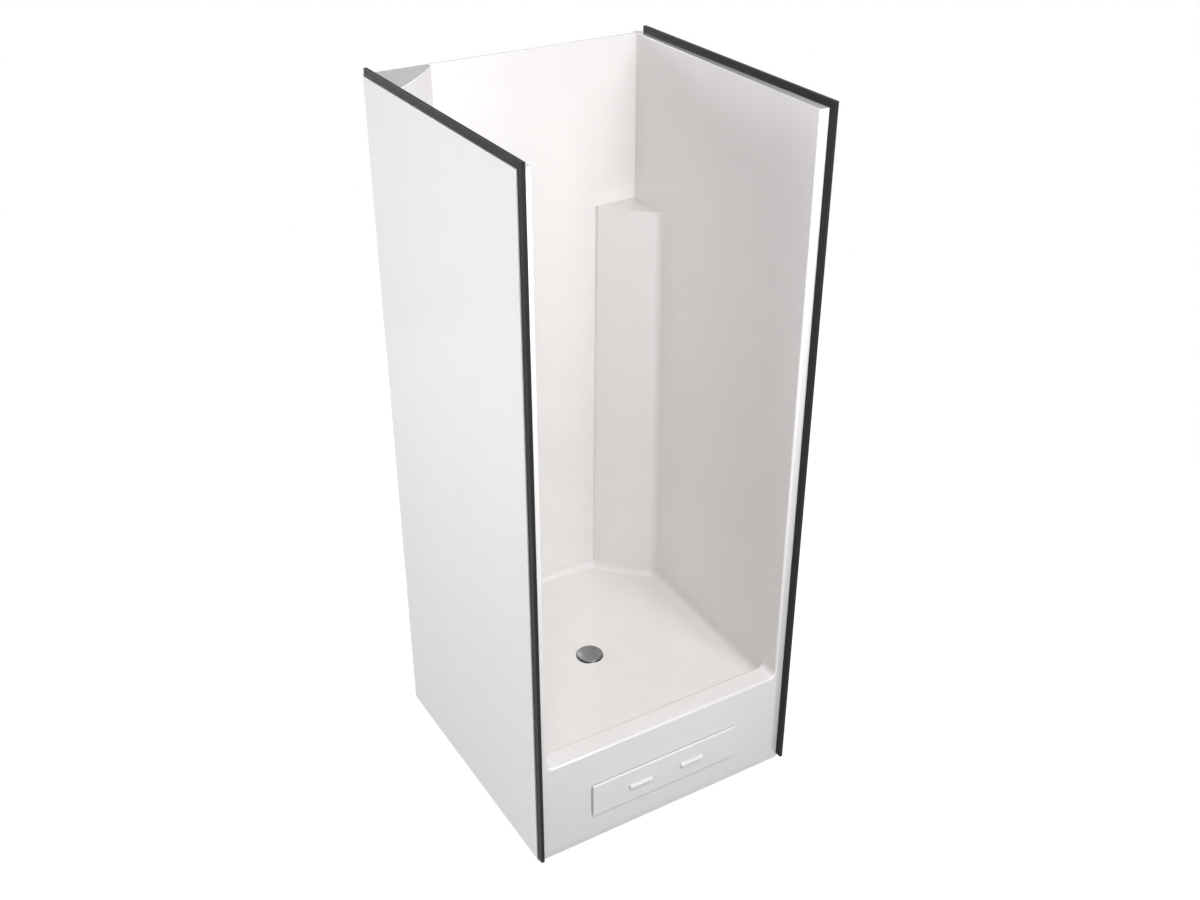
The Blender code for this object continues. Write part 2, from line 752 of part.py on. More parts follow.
def rim_loop(setback, width):
    """U-shaped outline along the base rim: one side, round the back, the other side."""
    centre = (HALF_WIDTH - OUTER_RADIUS, BACK - OUTER_RADIUS)
    front = FRONT + JAMB_SKIN
    half = []
    outer = [(HALF_WIDTH - setback, front)] + arc(centre, OUTER_RADIUS - setback, 0, 90)
    inner_setback = setback + width
    inner = arc(centre, OUTER_RADIUS - inner_setback, 90, 0) + [(HALF_WIDTH - inner_setback, front)]
    half += outer
    half += [(-x, y) for x, y in reversed(outer)]
    half += [(-x, y) for x, y in reversed(inner)]
    half += inner
    return half


def seal_groove():
    """Groove in the base rim for the seal under the walls."""
    outline = rim_loop(SEAL_SETBACK - SEAT_GAP, SEAL_WIDTH + 2 * SEAT_GAP)
    low = BASE_HEIGHT - SEAL_THICKNESS - SEAT_GAP
    return plate("seal_groove_cutter", [outline], low, BASE_HEIGHT + OVERRUN)


def front_groove(side, name, low, high):
    """Groove up the front face for the tongue of a front bar."""
    half = TONGUE_THICKNESS / 2 + TONGUE_CLEARANCE
    depth = TONGUE_DEPTH + TONGUE_CLEARANCE
    middle = side * BAR_X
    return box(name, (middle - half, FRONT - OVERRUN, low), (middle + half, FRONT + depth, high))


def make_base():
    """The base: apron, threshold, floor with coves, tower feet and a hollow underside."""
    base = base_block()
    inset = BASE_SKIN + FOOT_FLANGE
    under = box(
        "base_underside_cutter",
        (-HALF_WIDTH + inset, FRONT + inset, -OVERRUN),
        (HALF_WIDTH - inset, BACK - inset, BASE_SKIN + OVERRUN),
    )
    threshold_room = box(
        "threshold_hollow_cutter",
        (-HALF_WIDTH + JAMB_WIDTH, FRONT + BASE_SKIN, FLOOR_UNDERSIDE - OVERRUN),
        (HALF_WIDTH - JAMB_WIDTH, FRONT + THRESHOLD_WIDTH - BASE_SKIN, THRESHOLD_HEIGHT - BASE_SKIN),
    )
    cut(base, inside_cutter())
    feet = []
    shafts = []
    for side, (along_back, along_side, top) in TOWERS.items():
        word = SIDE_WORDS[side]
        feet.append(tower_foot("tower_foot_" + word, side, along_back, along_side, top))
        low = FLOOR_UNDERSIDE - OVERRUN
        high = BASE_HEIGHT + OVERRUN
        room = shaft("foot_shaft_" + word, side, along_back, along_side, top, BASE_SKIN, low, high)
        shafts.append(room)
    join(base, *feet)
    cut(base, base_hollow(), under, threshold_room, floor_dish(), access_cutter(), *shafts)
    cut(base, *drain_cutters(), seal_groove())
    for side, word in SIDE_WORDS.items():
        name = "base_bar_groove_" + word
        cut(base, front_groove(side, name, BAR_FOOT_HEIGHT, BASE_HEIGHT + OVERRUN))
    return base


def make_rim_seal():
    """Flat seal in its groove under the three walls."""
    outline = rim_loop(SEAL_SETBACK, SEAL_WIDTH)
    low = BASE_HEIGHT - SEAL_THICKNESS
    return plate("rim_seal", [outline], low, BASE_HEIGHT, STANDING, "black_rubber")


def seat_corner(limit, beyond):
    """The panel seat round a back corner on one side of a distance from the middle."""
    centre = (HALF_WIDTH - OUTER_RADIUS, BACK - OUTER_RADIUS)
    points = arc(centre, OUTER_RADIUS - PANEL_SEAT, 0, 90)
    outside = [point for point in points if point[0] > limit]
    inside = [point for point in points if point[0] <= limit]
    first = outside[-1]
    last = inside[0]
    share = (first[0] - limit) / (first[0] - last[0])
    crossing = (limit, first[1] + (last[1] - first[1]) * share)
    return outside + [crossing] if beyond else [crossing] + inside


def side_wall_outline(side):
    """Plan of a side wall: jamb, seat of the outer panel, back corner and leaning inner face."""
    inner_back_x = inner_half_width(INNER_BACK)
    jamb_back = FRONT + JAMB_SKIN
    points = [(HALF_WIDTH, FRONT), (HALF_WIDTH, jamb_back), (HALF_WIDTH - PANEL_SEAT, jamb_back)]
    points += seat_corner(inner_back_x, True)
    points.append((inner_back_x, INNER_BACK))
    for step in range(LOFT_ARC_STEPS, -1, -1):
        angle = math.pi / 2 * step / LOFT_ARC_STEPS
        y = FRONT + FRONT_EDGE_RADIUS * (1 - math.cos(angle))
        points.append((inner_half_width(y) + FRONT_EDGE_RADIUS * (1 - math.sin(angle)), y))
    return [(side * x, y) for x, y in points]


def side_pocket_outline(side, clearance, outer_x):
    """Plan of the room for the foam core in a side wall."""
    front = FRONT + JAMB_SKIN + WALL_FLANGE + clearance
    back = BACK - OUTER_RADIUS - clearance
    points = [
        (outer_x, front),
        (outer_x, back),
        (inner_half_width(back) + LINER_SKIN + clearance, back),
        (inner_half_width(front) + LINER_SKIN + clearance, front),
    ]
    return [(side * x, y) for x, y in points]


def make_side_wall(side):
    """A side wall with its core pocket and the two bar grooves."""
    word = SIDE_WORDS[side]
    outline = side_wall_outline(side)
    wall = plate("wall_" + word, [outline], WALL_FOOT, SHELL_HEIGHT, STANDING, "white_gelcoat")
    pocket = plate(
        "wall_pocket_" + word,
        [side_pocket_outline(side, 0, HALF_WIDTH + OVERRUN)],
        WALL_FOOT + WALL_FLANGE,
        SHELL_HEIGHT - WALL_FLANGE,
    )
    half = TONGUE_THICKNESS / 2 + TONGUE_CLEARANCE
    depth = TONGUE_DEPTH + TONGUE_CLEARANCE
    middle = side * BAR_X
    top_groove = box(
        "wall_top_groove_" + word,
        (middle - half, FRONT - OVERRUN, SHELL_HEIGHT - depth),
        (middle + half, BAR_BACK, SHELL_HEIGHT + OVERRUN),
    )
    name = "wall_bar_groove_" + word
    jamb_groove = front_groove(side, name, WALL_FOOT - OVERRUN, SHELL_HEIGHT + OVERRUN)
    return cut(wall, pocket, top_groove, jamb_groove)


def make_side_core(side):
    """Foam core that fills the pocket of a side wall."""
    outline = side_pocket_outline(side, SEAT_GAP, HALF_WIDTH - PANEL_SEAT)
    low = WALL_FOOT + WALL_FLANGE + SEAT_GAP
    high = SHELL_HEIGHT - WALL_FLANGE - SEAT_GAP
    return plate("core_" + SIDE_WORDS[side], [outline], low, high, STANDING, "foam_core")


def make_side_panel(side):
    """Outer panel of a side wall, bent round the back corner with a short return."""
    word = SIDE_WORDS[side]
    centre = (HALF_WIDTH - OUTER_RADIUS, BACK - OUTER_RADIUS)
    start = FRONT + JAMB_SKIN + SEAT_GAP
    outer = [(HALF_WIDTH, start)] + arc(centre, OUTER_RADIUS, 0, 90)
    outer.append((centre[0] - PANEL_RETURN, BACK))
    inner = [(HALF_WIDTH - OUTER_PANEL_THICKNESS, start)]
    inner += arc(centre, OUTER_RADIUS - OUTER_PANEL_THICKNESS, 0, 90)
    inner.append((centre[0] - PANEL_RETURN, BACK - OUTER_PANEL_THICKNESS))
    outline = [(side * x, y) for x, y in outer + list(reversed(inner))]
    panel = plate("side_panel_" + word, [outline], WALL_FOOT, SHELL_HEIGHT, STANDING, "white_gelcoat")
    edge = side * inner_half_width(INNER_BACK)
    drop = box(
        "side_panel_drop_" + word,
        (min(0, edge), INNER_BACK, SHELL_HEIGHT - BACK_LIP_HEIGHT),
        (max(0, edge), BACK + OVERRUN, SHELL_HEIGHT + OVERRUN),
    )
    return cut(panel, drop)


def make_back_wall():
    """The back wall between the side walls, with a thin upright lip along its top."""
    half = inner_half_width(INNER_BACK) - SEAT_GAP
    right = [(half, INNER_BACK)] + seat_corner(half, False)
    outline = right + [(-x, y) for x, y in reversed(right)]
    wall = plate("wall_back", [outline], WALL_FOOT, SHELL_HEIGHT, STANDING, "white_gelcoat")
    shoulder = box(
        "back_lip_cutter",
        (-HALF_WIDTH, INNER_BACK + BACK_LIP_THICKNESS, SHELL_HEIGHT - BACK_LIP_HEIGHT),
        (HALF_WIDTH, BACK + OVERRUN, SHELL_HEIGHT + OVERRUN),
    )
    pocket = box("back_pocket_cutter", *back_pocket(0, BACK + OVERRUN))
    return cut(wall, shoulder, pocket)


def back_pocket(clearance, outer_y):
    """Corners of the room for the foam core in the back wall."""
    half = HALF_WIDTH - OUTER_RADIUS - clearance
    low = WALL_FOOT + WALL_FLANGE + clearance
    high = SHELL_HEIGHT - BACK_LIP_HEIGHT - WALL_FLANGE - clearance
    return (-half, INNER_BACK + LINER_SKIN + clearance, low), (half, outer_y, high)


def make_back_core():
    """Foam core that fills the pocket of the back wall."""
    low, high = back_pocket(SEAT_GAP, BACK - PANEL_SEAT)
    return box("core_back", low, high, "foam_core")


def make_back_panel():
    """Outer panel of the back wall between the returns of the side panels."""
    half = HALF_WIDTH - OUTER_RADIUS - PANEL_RETURN - SEAT_GAP
    low = (-half, BACK - OUTER_PANEL_THICKNESS, WALL_FOOT)
    high = (half, BACK, SHELL_HEIGHT - BACK_LIP_HEIGHT)
    return box("back_panel", low, high, "white_gelcoat")


def tower_section(side, height):
    """Plan of a corner tower at one height."""
    along_back, along_side, top = TOWERS[side]
    back = tower_reach(along_back, top, height)
    along = tower_reach(along_side, top, height)
    return tower_outline(side, back, along, SEAT_GAP)


def make_tower(side, top, room_top):
    """A corner tower: bowed face with turned-in flanges, open to the corner behind it."""
    word = SIDE_WORDS[side]
    along_back, along_side, named_top = TOWERS[side]
    sections = []
    for height in (WALL_FOOT, top):
        sections.append([(x, y, height) for x, y in tower_section(side, height)])
    tower = loft("tower_" + word, sections, "white_gelcoat")
    low = WALL_FOOT - OVERRUN
    name = "tower_shaft_" + word
    room = shaft(name, side, along_back, along_side, named_top, TOWER_SKIN, low, room_top)
    back_x = inner_half_width(INNER_BACK) - along_back + TOWER_FLANGE
    front_y = INNER_BACK - along_side + TOWER_FLANGE
    side_x = inner_half_width(front_y) - 2 * TOWER_SKIN
    far_x = side * (inner_half_width(INNER_BACK) + OVERRUN)
    far_y = INNER_BACK + OVERRUN
    behind = box(
        "tower_back_slot_" + word,
        (min(side * back_x, far_x), INNER_BACK - 2 * TOWER_SKIN, low),
        (max(side * back_x, far_x), far_y, room_top),
    )
    beside = box(
        "tower_side_slot_" + word,
        (min(side * side_x, far_x), front_y, low),
        (max(side * side_x, far_x), far_y, room_top),
    )
    return tower, (room, behind, beside)


def make_right_tower():
    """The lower tower, whose top is a shelf with a soft edge."""
    tower, rooms = make_tower(1, SHELF_HEIGHT, SHELF_HEIGHT - TOWER_SKIN)
    wall_y = INNER_BACK - SEAT_GAP - MERGE
    wall_slack = TOWER_SKIN / 2

    def shelf_edge(first, second):
        at_top = min(first.z, second.z) > SHELF_HEIGHT - MERGE
        on_back = min(first.y, second.y) > wall_y
        gap_first = inner_half_width(first.y) - first.x
        gap_second = inner_half_width(second.y) - second.x
        return at_top and not on_back and max(gap_first, gap_second) > wall_slack

    round_edges(tower, shelf_edge, SHELF_EDGE_RADIUS, SHELF_EDGE_STEPS)
    return cut(tower, *rooms)


def make_left_tower():
    """The full-height tower, open above for its cap."""
    top = SHELL_HEIGHT - TOWER_CAP_THICKNESS - SEAT_GAP
    tower, rooms = make_tower(-1, top, SHELL_HEIGHT + OVERRUN)
    return cut(tower, *rooms)


def make_tower_cap():
    """Flat cap of the full-height tower, with a plug that locates it."""
    outline = tower_section(-1, SHELL_HEIGHT)
    low = SHELL_HEIGHT - TOWER_CAP_THICKNESS
    cap = plate("tower_left_cap", [outline], low, SHELL_HEIGHT, STANDING, "grey_cap")
    inside = tower_outline(-1, LEFT_TOWER_ALONG_BACK, LEFT_TOWER_ALONG_SIDE, SEAT_GAP, 2 * TOWER_SKIN)
    plug = grown(inside, -TOWER_SKIN - KEY_CLEARANCE)
    middle = SHELL_HEIGHT - TOWER_CAP_THICKNESS / 2
    return join(cap, plate("tower_cap_plug", [plug], low - CAP_PLUG_DEPTH, middle))


def bar_sections(middle, foot, height, upwards):
    """Outlines of a bar, of the hollow inside it and of the tongue that it stands on."""
    centre = (middle, foot + upwards * height / 2)
    outer = rounded(rectangle(BAR_THICKNESS, height, centre), [BAR_EDGE] * 4, BAR_EDGE_STEPS)
    inner = rectangle(BAR_THICKNESS - 2 * BAR_WALL, height - 2 * BAR_WALL, centre)
    rooted = TONGUE_DEPTH + BAR_WALL / 2
    tongue_middle = (middle, foot - upwards * (TONGUE_DEPTH - rooted / 2))
    return outer, inner, rectangle(TONGUE_THICKNESS, rooted, tongue_middle)


def make_bar(name, sections, start, end, turn, mitre):
    """A hollow bar with its tongue, trimmed at one end by the corner joint."""
    outer, inner, tongue = sections
    bar = plate(name, [outer], start, end, turn, "charcoal_bar")
    join(bar, plate(name + "_tongue", [tongue], start, end, turn))
    return cut(bar, plate(name + "_room", [inner], start - OVERRUN, end + OVERRUN, turn), mitre)


def mitre_cutter(name, side, keep):
    """Block that trims a bar along the sloping joint of the top front corner."""
    corner = Vector((FRONT, SHELL_HEIGHT))
    tip = Vector((FRONT - BAR_REACH, SHELL_HEIGHT + BAR_RISE))
    along = (tip - corner).normalized()
    across = Vector((-along.y, along.x))
    if across.y * keep > 0:
        across = -across
    shift = across * (-SEAT_GAP / 2)
    reach = along * (BAR_REACH + BAR_RISE + OVERRUN)
    width = across * (BAR_REACH + BAR_RISE + OVERRUN)
    near = corner - reach + shift
    far = tip + reach + shift
    outline = [tuple(near), tuple(far), tuple(far + width), tuple(near + width)]
    middle = side * BAR_X
    half = BAR_THICKNESS / 2 + OVERRUN
    return plate(name, [outline], middle - half, middle + half, FACING_SIDE)


def make_front_bar(side):
    """Upright bar on the front edge of a side, up to the sloping corner joint."""
    word = SIDE_WORDS[side]
    sections = bar_sections(side * BAR_X, FRONT - SEAT_GAP, BAR_REACH - SEAT_GAP, -1)
    low = BAR_FOOT_HEIGHT + END_CAP_THICKNESS + SEAT_GAP
    high = SHELL_HEIGHT + BAR_RISE + OVERRUN
    mitre = mitre_cutter("front_mitre_" + word, side, -1)
    return make_bar("bar_" + word + "_front", sections, low, high, STANDING, mitre)


def make_top_bar(side):
    """Level bar on the top edge of a side, from the sloping corner joint to the back."""
    word = SIDE_WORDS[side]
    sections = bar_sections(side * BAR_X, SHELL_HEIGHT + SEAT_GAP, BAR_RISE - SEAT_GAP, 1)
    end = -(BAR_BACK - END_CAP_THICKNESS - SEAT_GAP)
    start = -(FRONT - BAR_REACH - OVERRUN)
    mitre = mitre_cutter("top_mitre_" + word, side, 1)
    return make_bar("bar_" + word + "_top", sections, end, start, FACING_FRONT, mitre)


def make_corner_key(side):
    """Bent key inside the two bars of one side, across their corner joint."""
    inset = BAR_WALL + KEY_CLEARANCE
    front = FRONT - BAR_REACH + inset
    rear = FRONT - SEAT_GAP - inset
    top = SHELL_HEIGHT + BAR_RISE - inset
    under = SHELL_HEIGHT + SEAT_GAP + inset
    foot = under - CORNER_KEY_ARM
    end = rear + CORNER_KEY_ARM
    outline = [(front, foot), (rear, foot), (rear, under), (end, under), (end, top), (front, top)]
    half = BAR_THICKNESS / 2 - inset
    middle = side * BAR_X
    name = "corner_key_" + SIDE_WORDS[side]
    return plate(name, [outline], middle - half, middle + half, FACING_SIDE, "grey_plastic")


def make_bar_caps(side):
    """Push-in caps for the foot of the front bar and the back end of the top bar."""
    word = SIDE_WORDS[side]
    middle = side * BAR_X
    inset = BAR_WALL + KEY_CLEARANCE
    edges = [BAR_EDGE] * 4
    centre = (middle, FRONT - SEAT_GAP - (BAR_REACH - SEAT_GAP) / 2)
    face = rounded(rectangle(BAR_THICKNESS, BAR_REACH - SEAT_GAP, centre), edges, BAR_EDGE_STEPS)
    plug = rectangle(BAR_THICKNESS - 2 * inset, BAR_REACH - SEAT_GAP - 2 * inset, centre)
    high = BAR_FOOT_HEIGHT + END_CAP_THICKNESS
    foot = plate("bar_cap_" + word + "_foot", [face], BAR_FOOT_HEIGHT, high, STANDING, "charcoal_bar")
    plug_low = BAR_FOOT_HEIGHT + END_CAP_THICKNESS / 2
    join(foot, plate("foot_plug_" + word, [plug], plug_low, high + END_CAP_PLUG))
    centre = (middle, SHELL_HEIGHT + SEAT_GAP + (BAR_RISE - SEAT_GAP) / 2)
    face = rounded(rectangle(BAR_THICKNESS, BAR_RISE - SEAT_GAP, centre), edges, BAR_EDGE_STEPS)
    plug = rectangle(BAR_THICKNESS - 2 * inset, BAR_RISE - SEAT_GAP - 2 * inset, centre)
    near = -(BAR_BACK - END_CAP_THICKNESS)
    back = plate("bar_cap_" + word + "_back", [face], -BAR_BACK, near, FACING_FRONT, "charcoal_bar")
    plug_end = near + END_CAP_PLUG
    plug_start = -(BAR_BACK - END_CAP_THICKNESS / 2)
    join(back, plate("back_plug_" + word, [plug], plug_start, plug_end, FACING_FRONT))
    return foot, back


def circle(centre, radius, steps=TURN_STEPS):
    """Points round a circle."""
    return arc(centre, radius, 0, 360, steps)[:-1]


def lugged(centre, radius, depth, count):
    """Round outline with evenly spaced lugs for a hand or a spanner."""
    points = []
    pitch = 2 * math.pi / count
    for index in range(count):
        for turn_share, drop_share in LUG_SHARES:
            angle = pitch * (index + turn_share)
            reach = radius - depth * drop_share
            points.append((centre[0] + reach * math.cos(angle), centre[1] + reach * math.sin(angle)))
    return points


def make_drain_body():
    """Threaded waste body: flange in the floor recess, neck through the floor."""
    seat = NECK_BORE / 2 + COLLAR_SEAT_WIDTH
    seat_depth = COLLAR_THICKNESS + 2 * SEAT_GAP
    rim = FLANGE_DIAMETER / 2
    neck = NECK_DIAMETER / 2
    foot = -FLANGE_THICKNESS - NECK_LENGTH
    profile = [
        (seat, 0),
        (rim - FLANGE_CHAMFER, 0),
        (rim, -FLANGE_CHAMFER),
        (rim, -FLANGE_THICKNESS),
        (neck, -FLANGE_THICKNESS),
        (neck, foot),
        (NECK_BORE / 2, foot),
        (NECK_BORE / 2, -seat_depth),
        (seat, -seat_depth),
    ]
    return turned("drain_body", profile, (0, DRAIN_Y, DRAIN_FLOOR), "satin_metal")


def make_drain_seal():
    """Flat washer between the floor and the backnut."""
    centre = (0, DRAIN_Y)
    outlines = [circle(centre, WASHER_DIAMETER / 2), circle(centre, NECK_DIAMETER / 2 + THREAD_CLEARANCE)]
    high = FLOOR_UNDERSIDE - SEAT_GAP
    return plate("drain_seal", outlines, high - WASHER_THICKNESS, high, STANDING, "black_rubber")


def make_backnut():
    """Lugged nut that clamps the waste body to the floor."""
    centre = (0, DRAIN_Y)
    outer = lugged(centre, BACKNUT_DIAMETER / 2, BACKNUT_LUG_DEPTH, BACKNUT_LUGS)
    inner = circle(centre, NECK_DIAMETER / 2 + THREAD_CLEARANCE)
    low = BACKNUT_TOP - BACKNUT_THICKNESS
    return plate("drain_backnut", [outer, inner], low, BACKNUT_TOP, STANDING, "grey_plastic")


def trap_profile(collar, skin, high):
    """Half section of the trap, for its outside or for the room inside it."""
    radius = TRAP_DIAMETER / 2 - skin
    shoulder = TRAP_TOP - TRAP_COLLAR_HEIGHT - skin
    bottom = TRAP_TOP - TRAP_DEPTH + skin
    bend = TRAP_BEND_RADIUS - skin
    profile = [(0, high), (collar, high), (collar, shoulder)]
    profile += [(radius - bend, shoulder)]
    profile += arc((radius - bend, shoulder - bend), bend, 90, 0, TRAP_BEND_STEPS)[1:]
    profile += arc((radius - bend, bottom + bend), bend, 0, -90, TRAP_BEND_STEPS)
    profile.append((0, bottom))
    return profile


def make_trap():
    """Trap bowl screwed on the neck, with its outlet at the back."""
    centre = (0, DRAIN_Y, 0)
    collar = NECK_DIAMETER / 2 + TRAP_COLLAR_WALL
    trap = turned("trap_body", trap_profile(collar, 0, TRAP_TOP), centre, "grey_plastic")
    bore_radius = NECK_DIAMETER / 2 + THREAD_CLEARANCE
    room = turned("trap_room", trap_profile(bore_radius, TRAP_WALL, TRAP_TOP + OVERRUN), centre)
    middle = (0, DRAIN_Y + OUTLET_REACH / 2, OUTLET_HEIGHT)
    spigot = cylinder("outlet_spigot", middle, OUTLET_DIAMETER / 2, OUTLET_REACH, "Y", SMALL_TURN_STEPS)
    bore_middle = (0, DRAIN_Y + OUTLET_REACH / 2 + OVERRUN / 2, OUTLET_HEIGHT)
    bore_length = OUTLET_REACH + OVERRUN
    bore_radius = OUTLET_DIAMETER / 2 - TRAP_WALL
    bore = cylinder("outlet_bore", bore_middle, bore_radius, bore_length, "Y", SMALL_TURN_STEPS)
    join(trap, spigot)
    return cut(trap, room, bore)


def make_outlet_nut():
    """Ribbed nut on the outlet, with a lip over the seal."""
    centre = (0, OUTLET_HEIGHT)
    lip_end = OUTLET_END + SEAT_GAP + OUTLET_SEAL_THICKNESS + SEAT_GAP + TRAP_WALL
    outline = lugged(centre, OUTLET_NUT_DIAMETER / 2, OUTLET_RIB_DEPTH, OUTLET_RIBS)
    start = lip_end - OUTLET_NUT_LENGTH
    nut = plate("outlet_nut", [outline], -lip_end, -start, FACING_FRONT, "grey_plastic")
    seat_end = lip_end - TRAP_WALL
    radius = OUTLET_DIAMETER / 2 + THREAD_CLEARANCE
    seat_start = start - OVERRUN
    middle = (0, (seat_start + seat_end) / 2, OUTLET_HEIGHT)
    seat = cylinder("outlet_nut_seat", middle, radius, seat_end - seat_start, "Y", SMALL_TURN_STEPS)
    hole_middle = (0, lip_end, OUTLET_HEIGHT)
    hole_radius = OUTLET_DIAMETER / 2 - TRAP_WALL
    hole = cylinder("outlet_nut_hole", hole_middle, hole_radius, 2 * OVERRUN, "Y", SMALL_TURN_STEPS)
    return cut(nut, seat, hole)


def make_outlet_seal():
    """Ring between the end of the outlet and the lip of its nut."""
    centre = (0, OUTLET_HEIGHT)
    outer = circle(centre, OUTLET_DIAMETER / 2, SMALL_TURN_STEPS)
    inner = circle(centre, OUTLET_DIAMETER / 2 - TRAP_WALL, SMALL_TURN_STEPS)
    near = OUTLET_END + SEAT_GAP
    far = near + OUTLET_SEAL_THICKNESS
    return plate("outlet_seal", [outer, inner], -far, -near, FACING_FRONT, "black_rubber")


def make_dip_tube():
    """Lift-out tube that hangs in the waste body, with a spoked hub for the cover's stem."""
    collar = NECK_BORE / 2 + COLLAR_SEAT_WIDTH - SEAT_GAP
    outer = DIP_TUBE_DIAMETER / 2
    inner = outer - DIP_TUBE_WALL
    top = DRAIN_FLOOR - SEAT_GAP
    profile = [
        (inner, 0),
        (collar, 0),
        (collar, -COLLAR_THICKNESS),
        (outer, -COLLAR_THICKNESS),
        (outer, -DIP_TUBE_LENGTH),
        (inner, -DIP_TUBE_LENGTH),
    ]
    tube = turned("dip_tube", profile, (0, DRAIN_Y, top), "grey_plastic")
    hub = circle((0, DRAIN_Y), HUB_DIAMETER / 2, SMALL_TURN_STEPS)
    join(tube, plate("dip_tube_hub", [hub], top - HUB_HEIGHT, top))
    for index in range(SPOKE_COUNT):
        turn = Matrix.Rotation(2 * math.pi * index / SPOKE_COUNT, 2)
        length = inner + DIP_TUBE_WALL / 2
        spoke = []
        for x, y in rectangle(length, SPOKE_THICKNESS, (length / 2, 0)):
            spot = turn @ Vector((x, y))
            spoke.append((spot.x, spot.y + DRAIN_Y))
        join(tube, plate("dip_tube_spoke_" + str(index), [spoke], top - HUB_HEIGHT, top - SPOKE_DROP))
    stem_hole = cylinder(
        "dip_tube_stem_hole",
        (0, DRAIN_Y, top - HUB_HEIGHT / 2),
        COVER_STEM_DIAMETER / 2 + SEAT_GAP,
        HUB_HEIGHT + 2 * OVERRUN,
        "Z",
        SMALL_TURN_STEPS,
    )
    return cut(tube, stem_hole)


def make_drain_cover():
    """Domed cover over the waste, on a stem in the hub of the dip tube."""
    radius = COVER_DIAMETER / 2
    stem = COVER_STEM_DIAMETER / 2
    low = COVER_LIFT
    sphere = (radius * radius + COVER_DOME * COVER_DOME) / (2 * COVER_DOME)
    edge = low + COVER_THICKNESS

    def dome(x):
        return edge + COVER_DOME - sphere + math.sqrt(sphere * sphere - x * x)

    profile = []
    for step in range(COVER_STEPS + 1):
        reach = radius * step / COVER_STEPS
        profile.append((reach, dome(reach)))
    profile.append((radius, low + COVER_EDGE))
    profile.append((radius - COVER_EDGE, low))
    for step in range(COVER_STEPS - 1, 0, -1):
        reach = radius * step / COVER_STEPS
        profile.append((reach, dome(reach) - COVER_THICKNESS))
    profile.append((stem, dome(stem) - COVER_THICKNESS))
    profile.append((stem, -HUB_HEIGHT - SEAT_GAP))
    profile.append((0, -HUB_HEIGHT - SEAT_GAP))
    return turned("drain_cover", profile, (0, DRAIN_Y, DRAIN_FLOOR), "satin_metal")


def make_floor_deck():
    """Plywood deck bonded under the floor, with room for the waste fitting."""
    width = CABIN_WIDTH - 2 * DECK_MARGIN
    depth = CABIN_DEPTH - 2 * DECK_MARGIN
    middle = (FRONT + BACK) / 2
    outline = rounded(rectangle(width, depth, (0, middle)), [OUTER_RADIUS] * 4)
    hole = circle((0, DRAIN_Y), DECK_HOLE_DIAMETER / 2)
    low = DECK_TOP - DECK_THICKNESS
    return plate("floor_deck", [outline, hole], low, DECK_TOP, STANDING, "plywood")


def steel_tube(name, low, high, axis, finish_name=None):
    """Square tube stock with rounded long edges."""
    tube = box(name, low, high, finish_name)

    def long_edge(first, second):
        way = second - first
        return abs(way[axis]) > max(abs(way[(axis + 1) % 3]), abs(way[(axis + 2) % 3]))

    return round_edges(tube, long_edge, TUBE_EDGE_RADIUS, TUBE_EDGE_STEPS)


def leg_places():
    """Middle of each leg in plan, with a word for it."""
    x = RAIL_SPACING / 2
    y = RAIL_LENGTH / 2 - RAIL_SIZE / 2
    middle = (FRONT + BACK) / 2
    return {
        "front_left": (-x, middle - y),
        "front_right": (x, middle - y),
        "back_left": (-x, middle + y),
        "back_right": (x, middle + y),
    }


def make_support_frame():
    """Welded frame: two rails, two channels across and four legs with end plates."""
    half = RAIL_SIZE / 2
    low = FRAME_TOP - RAIL_SIZE
    middle = (FRONT + BACK) / 2
    wall_half = half - TUBE_WALL
    frame = None
    rooms = []
    pieces = []
    for side, word in SIDE_WORDS.items():
        x = side * RAIL_SPACING / 2
        front = middle - RAIL_LENGTH / 2
        back = middle + RAIL_LENGTH / 2
        first = (x - half, front, low)
        last = (x + half, back, FRAME_TOP)
        if frame is None:
            frame = steel_tube("support_frame", first, last, 1, "painted_steel")
        else:
            pieces.append(steel_tube("frame_rail_" + word, first, last, 1))
        rooms.append(
            box(
                "frame_rail_room_" + word,
                (x - wall_half, front - OVERRUN, low + TUBE_WALL),
                (x + wall_half, back + OVERRUN, FRAME_TOP - TUBE_WALL),
            )
        )
    for sign, word in ((-1, "front"), (1, "back")):
        y = middle + sign * CROSS_SPACING / 2
        reach = RAIL_SPACING / 2 - half + TUBE_WALL / 2
        inside = RAIL_SPACING / 2 - half
        pieces.append(box("frame_cross_" + word, (-reach, y - half, low), (reach, y + half, FRAME_TOP)))
        rooms.append(
            box(
                "frame_cross_room_" + word,
                (-inside, y - wall_half, low - OVERRUN),
                (inside, y + wall_half, FRAME_TOP - TUBE_WALL),
            )
        )
    for word, (x, y) in leg_places().items():
        first = (x - half, y - half, LEG_FOOT_HEIGHT)
        last = (x + half, y + half, low + TUBE_WALL / 2)
        pieces.append(steel_tube("frame_leg_" + word, first, last, 2))
        rooms.append(
            box(
                "frame_leg_room_" + word,
                (x - wall_half, y - wall_half, LEG_FOOT_HEIGHT + LEG_PLATE_THICKNESS),
                (x + wall_half, y + wall_half, low),
            )
        )
        rooms.append(
            cylinder(
                "frame_leg_hole_" + word,
                (x, y, LEG_FOOT_HEIGHT),
                STUD_DIAMETER / 2 + THREAD_CLEARANCE,
                2 * LEG_PLATE_THICKNESS + OVERRUN,
                "Z",
                SMALL_TURN_STEPS,
            )
        )
    join(frame, *pieces)
    return cut(frame, *rooms)


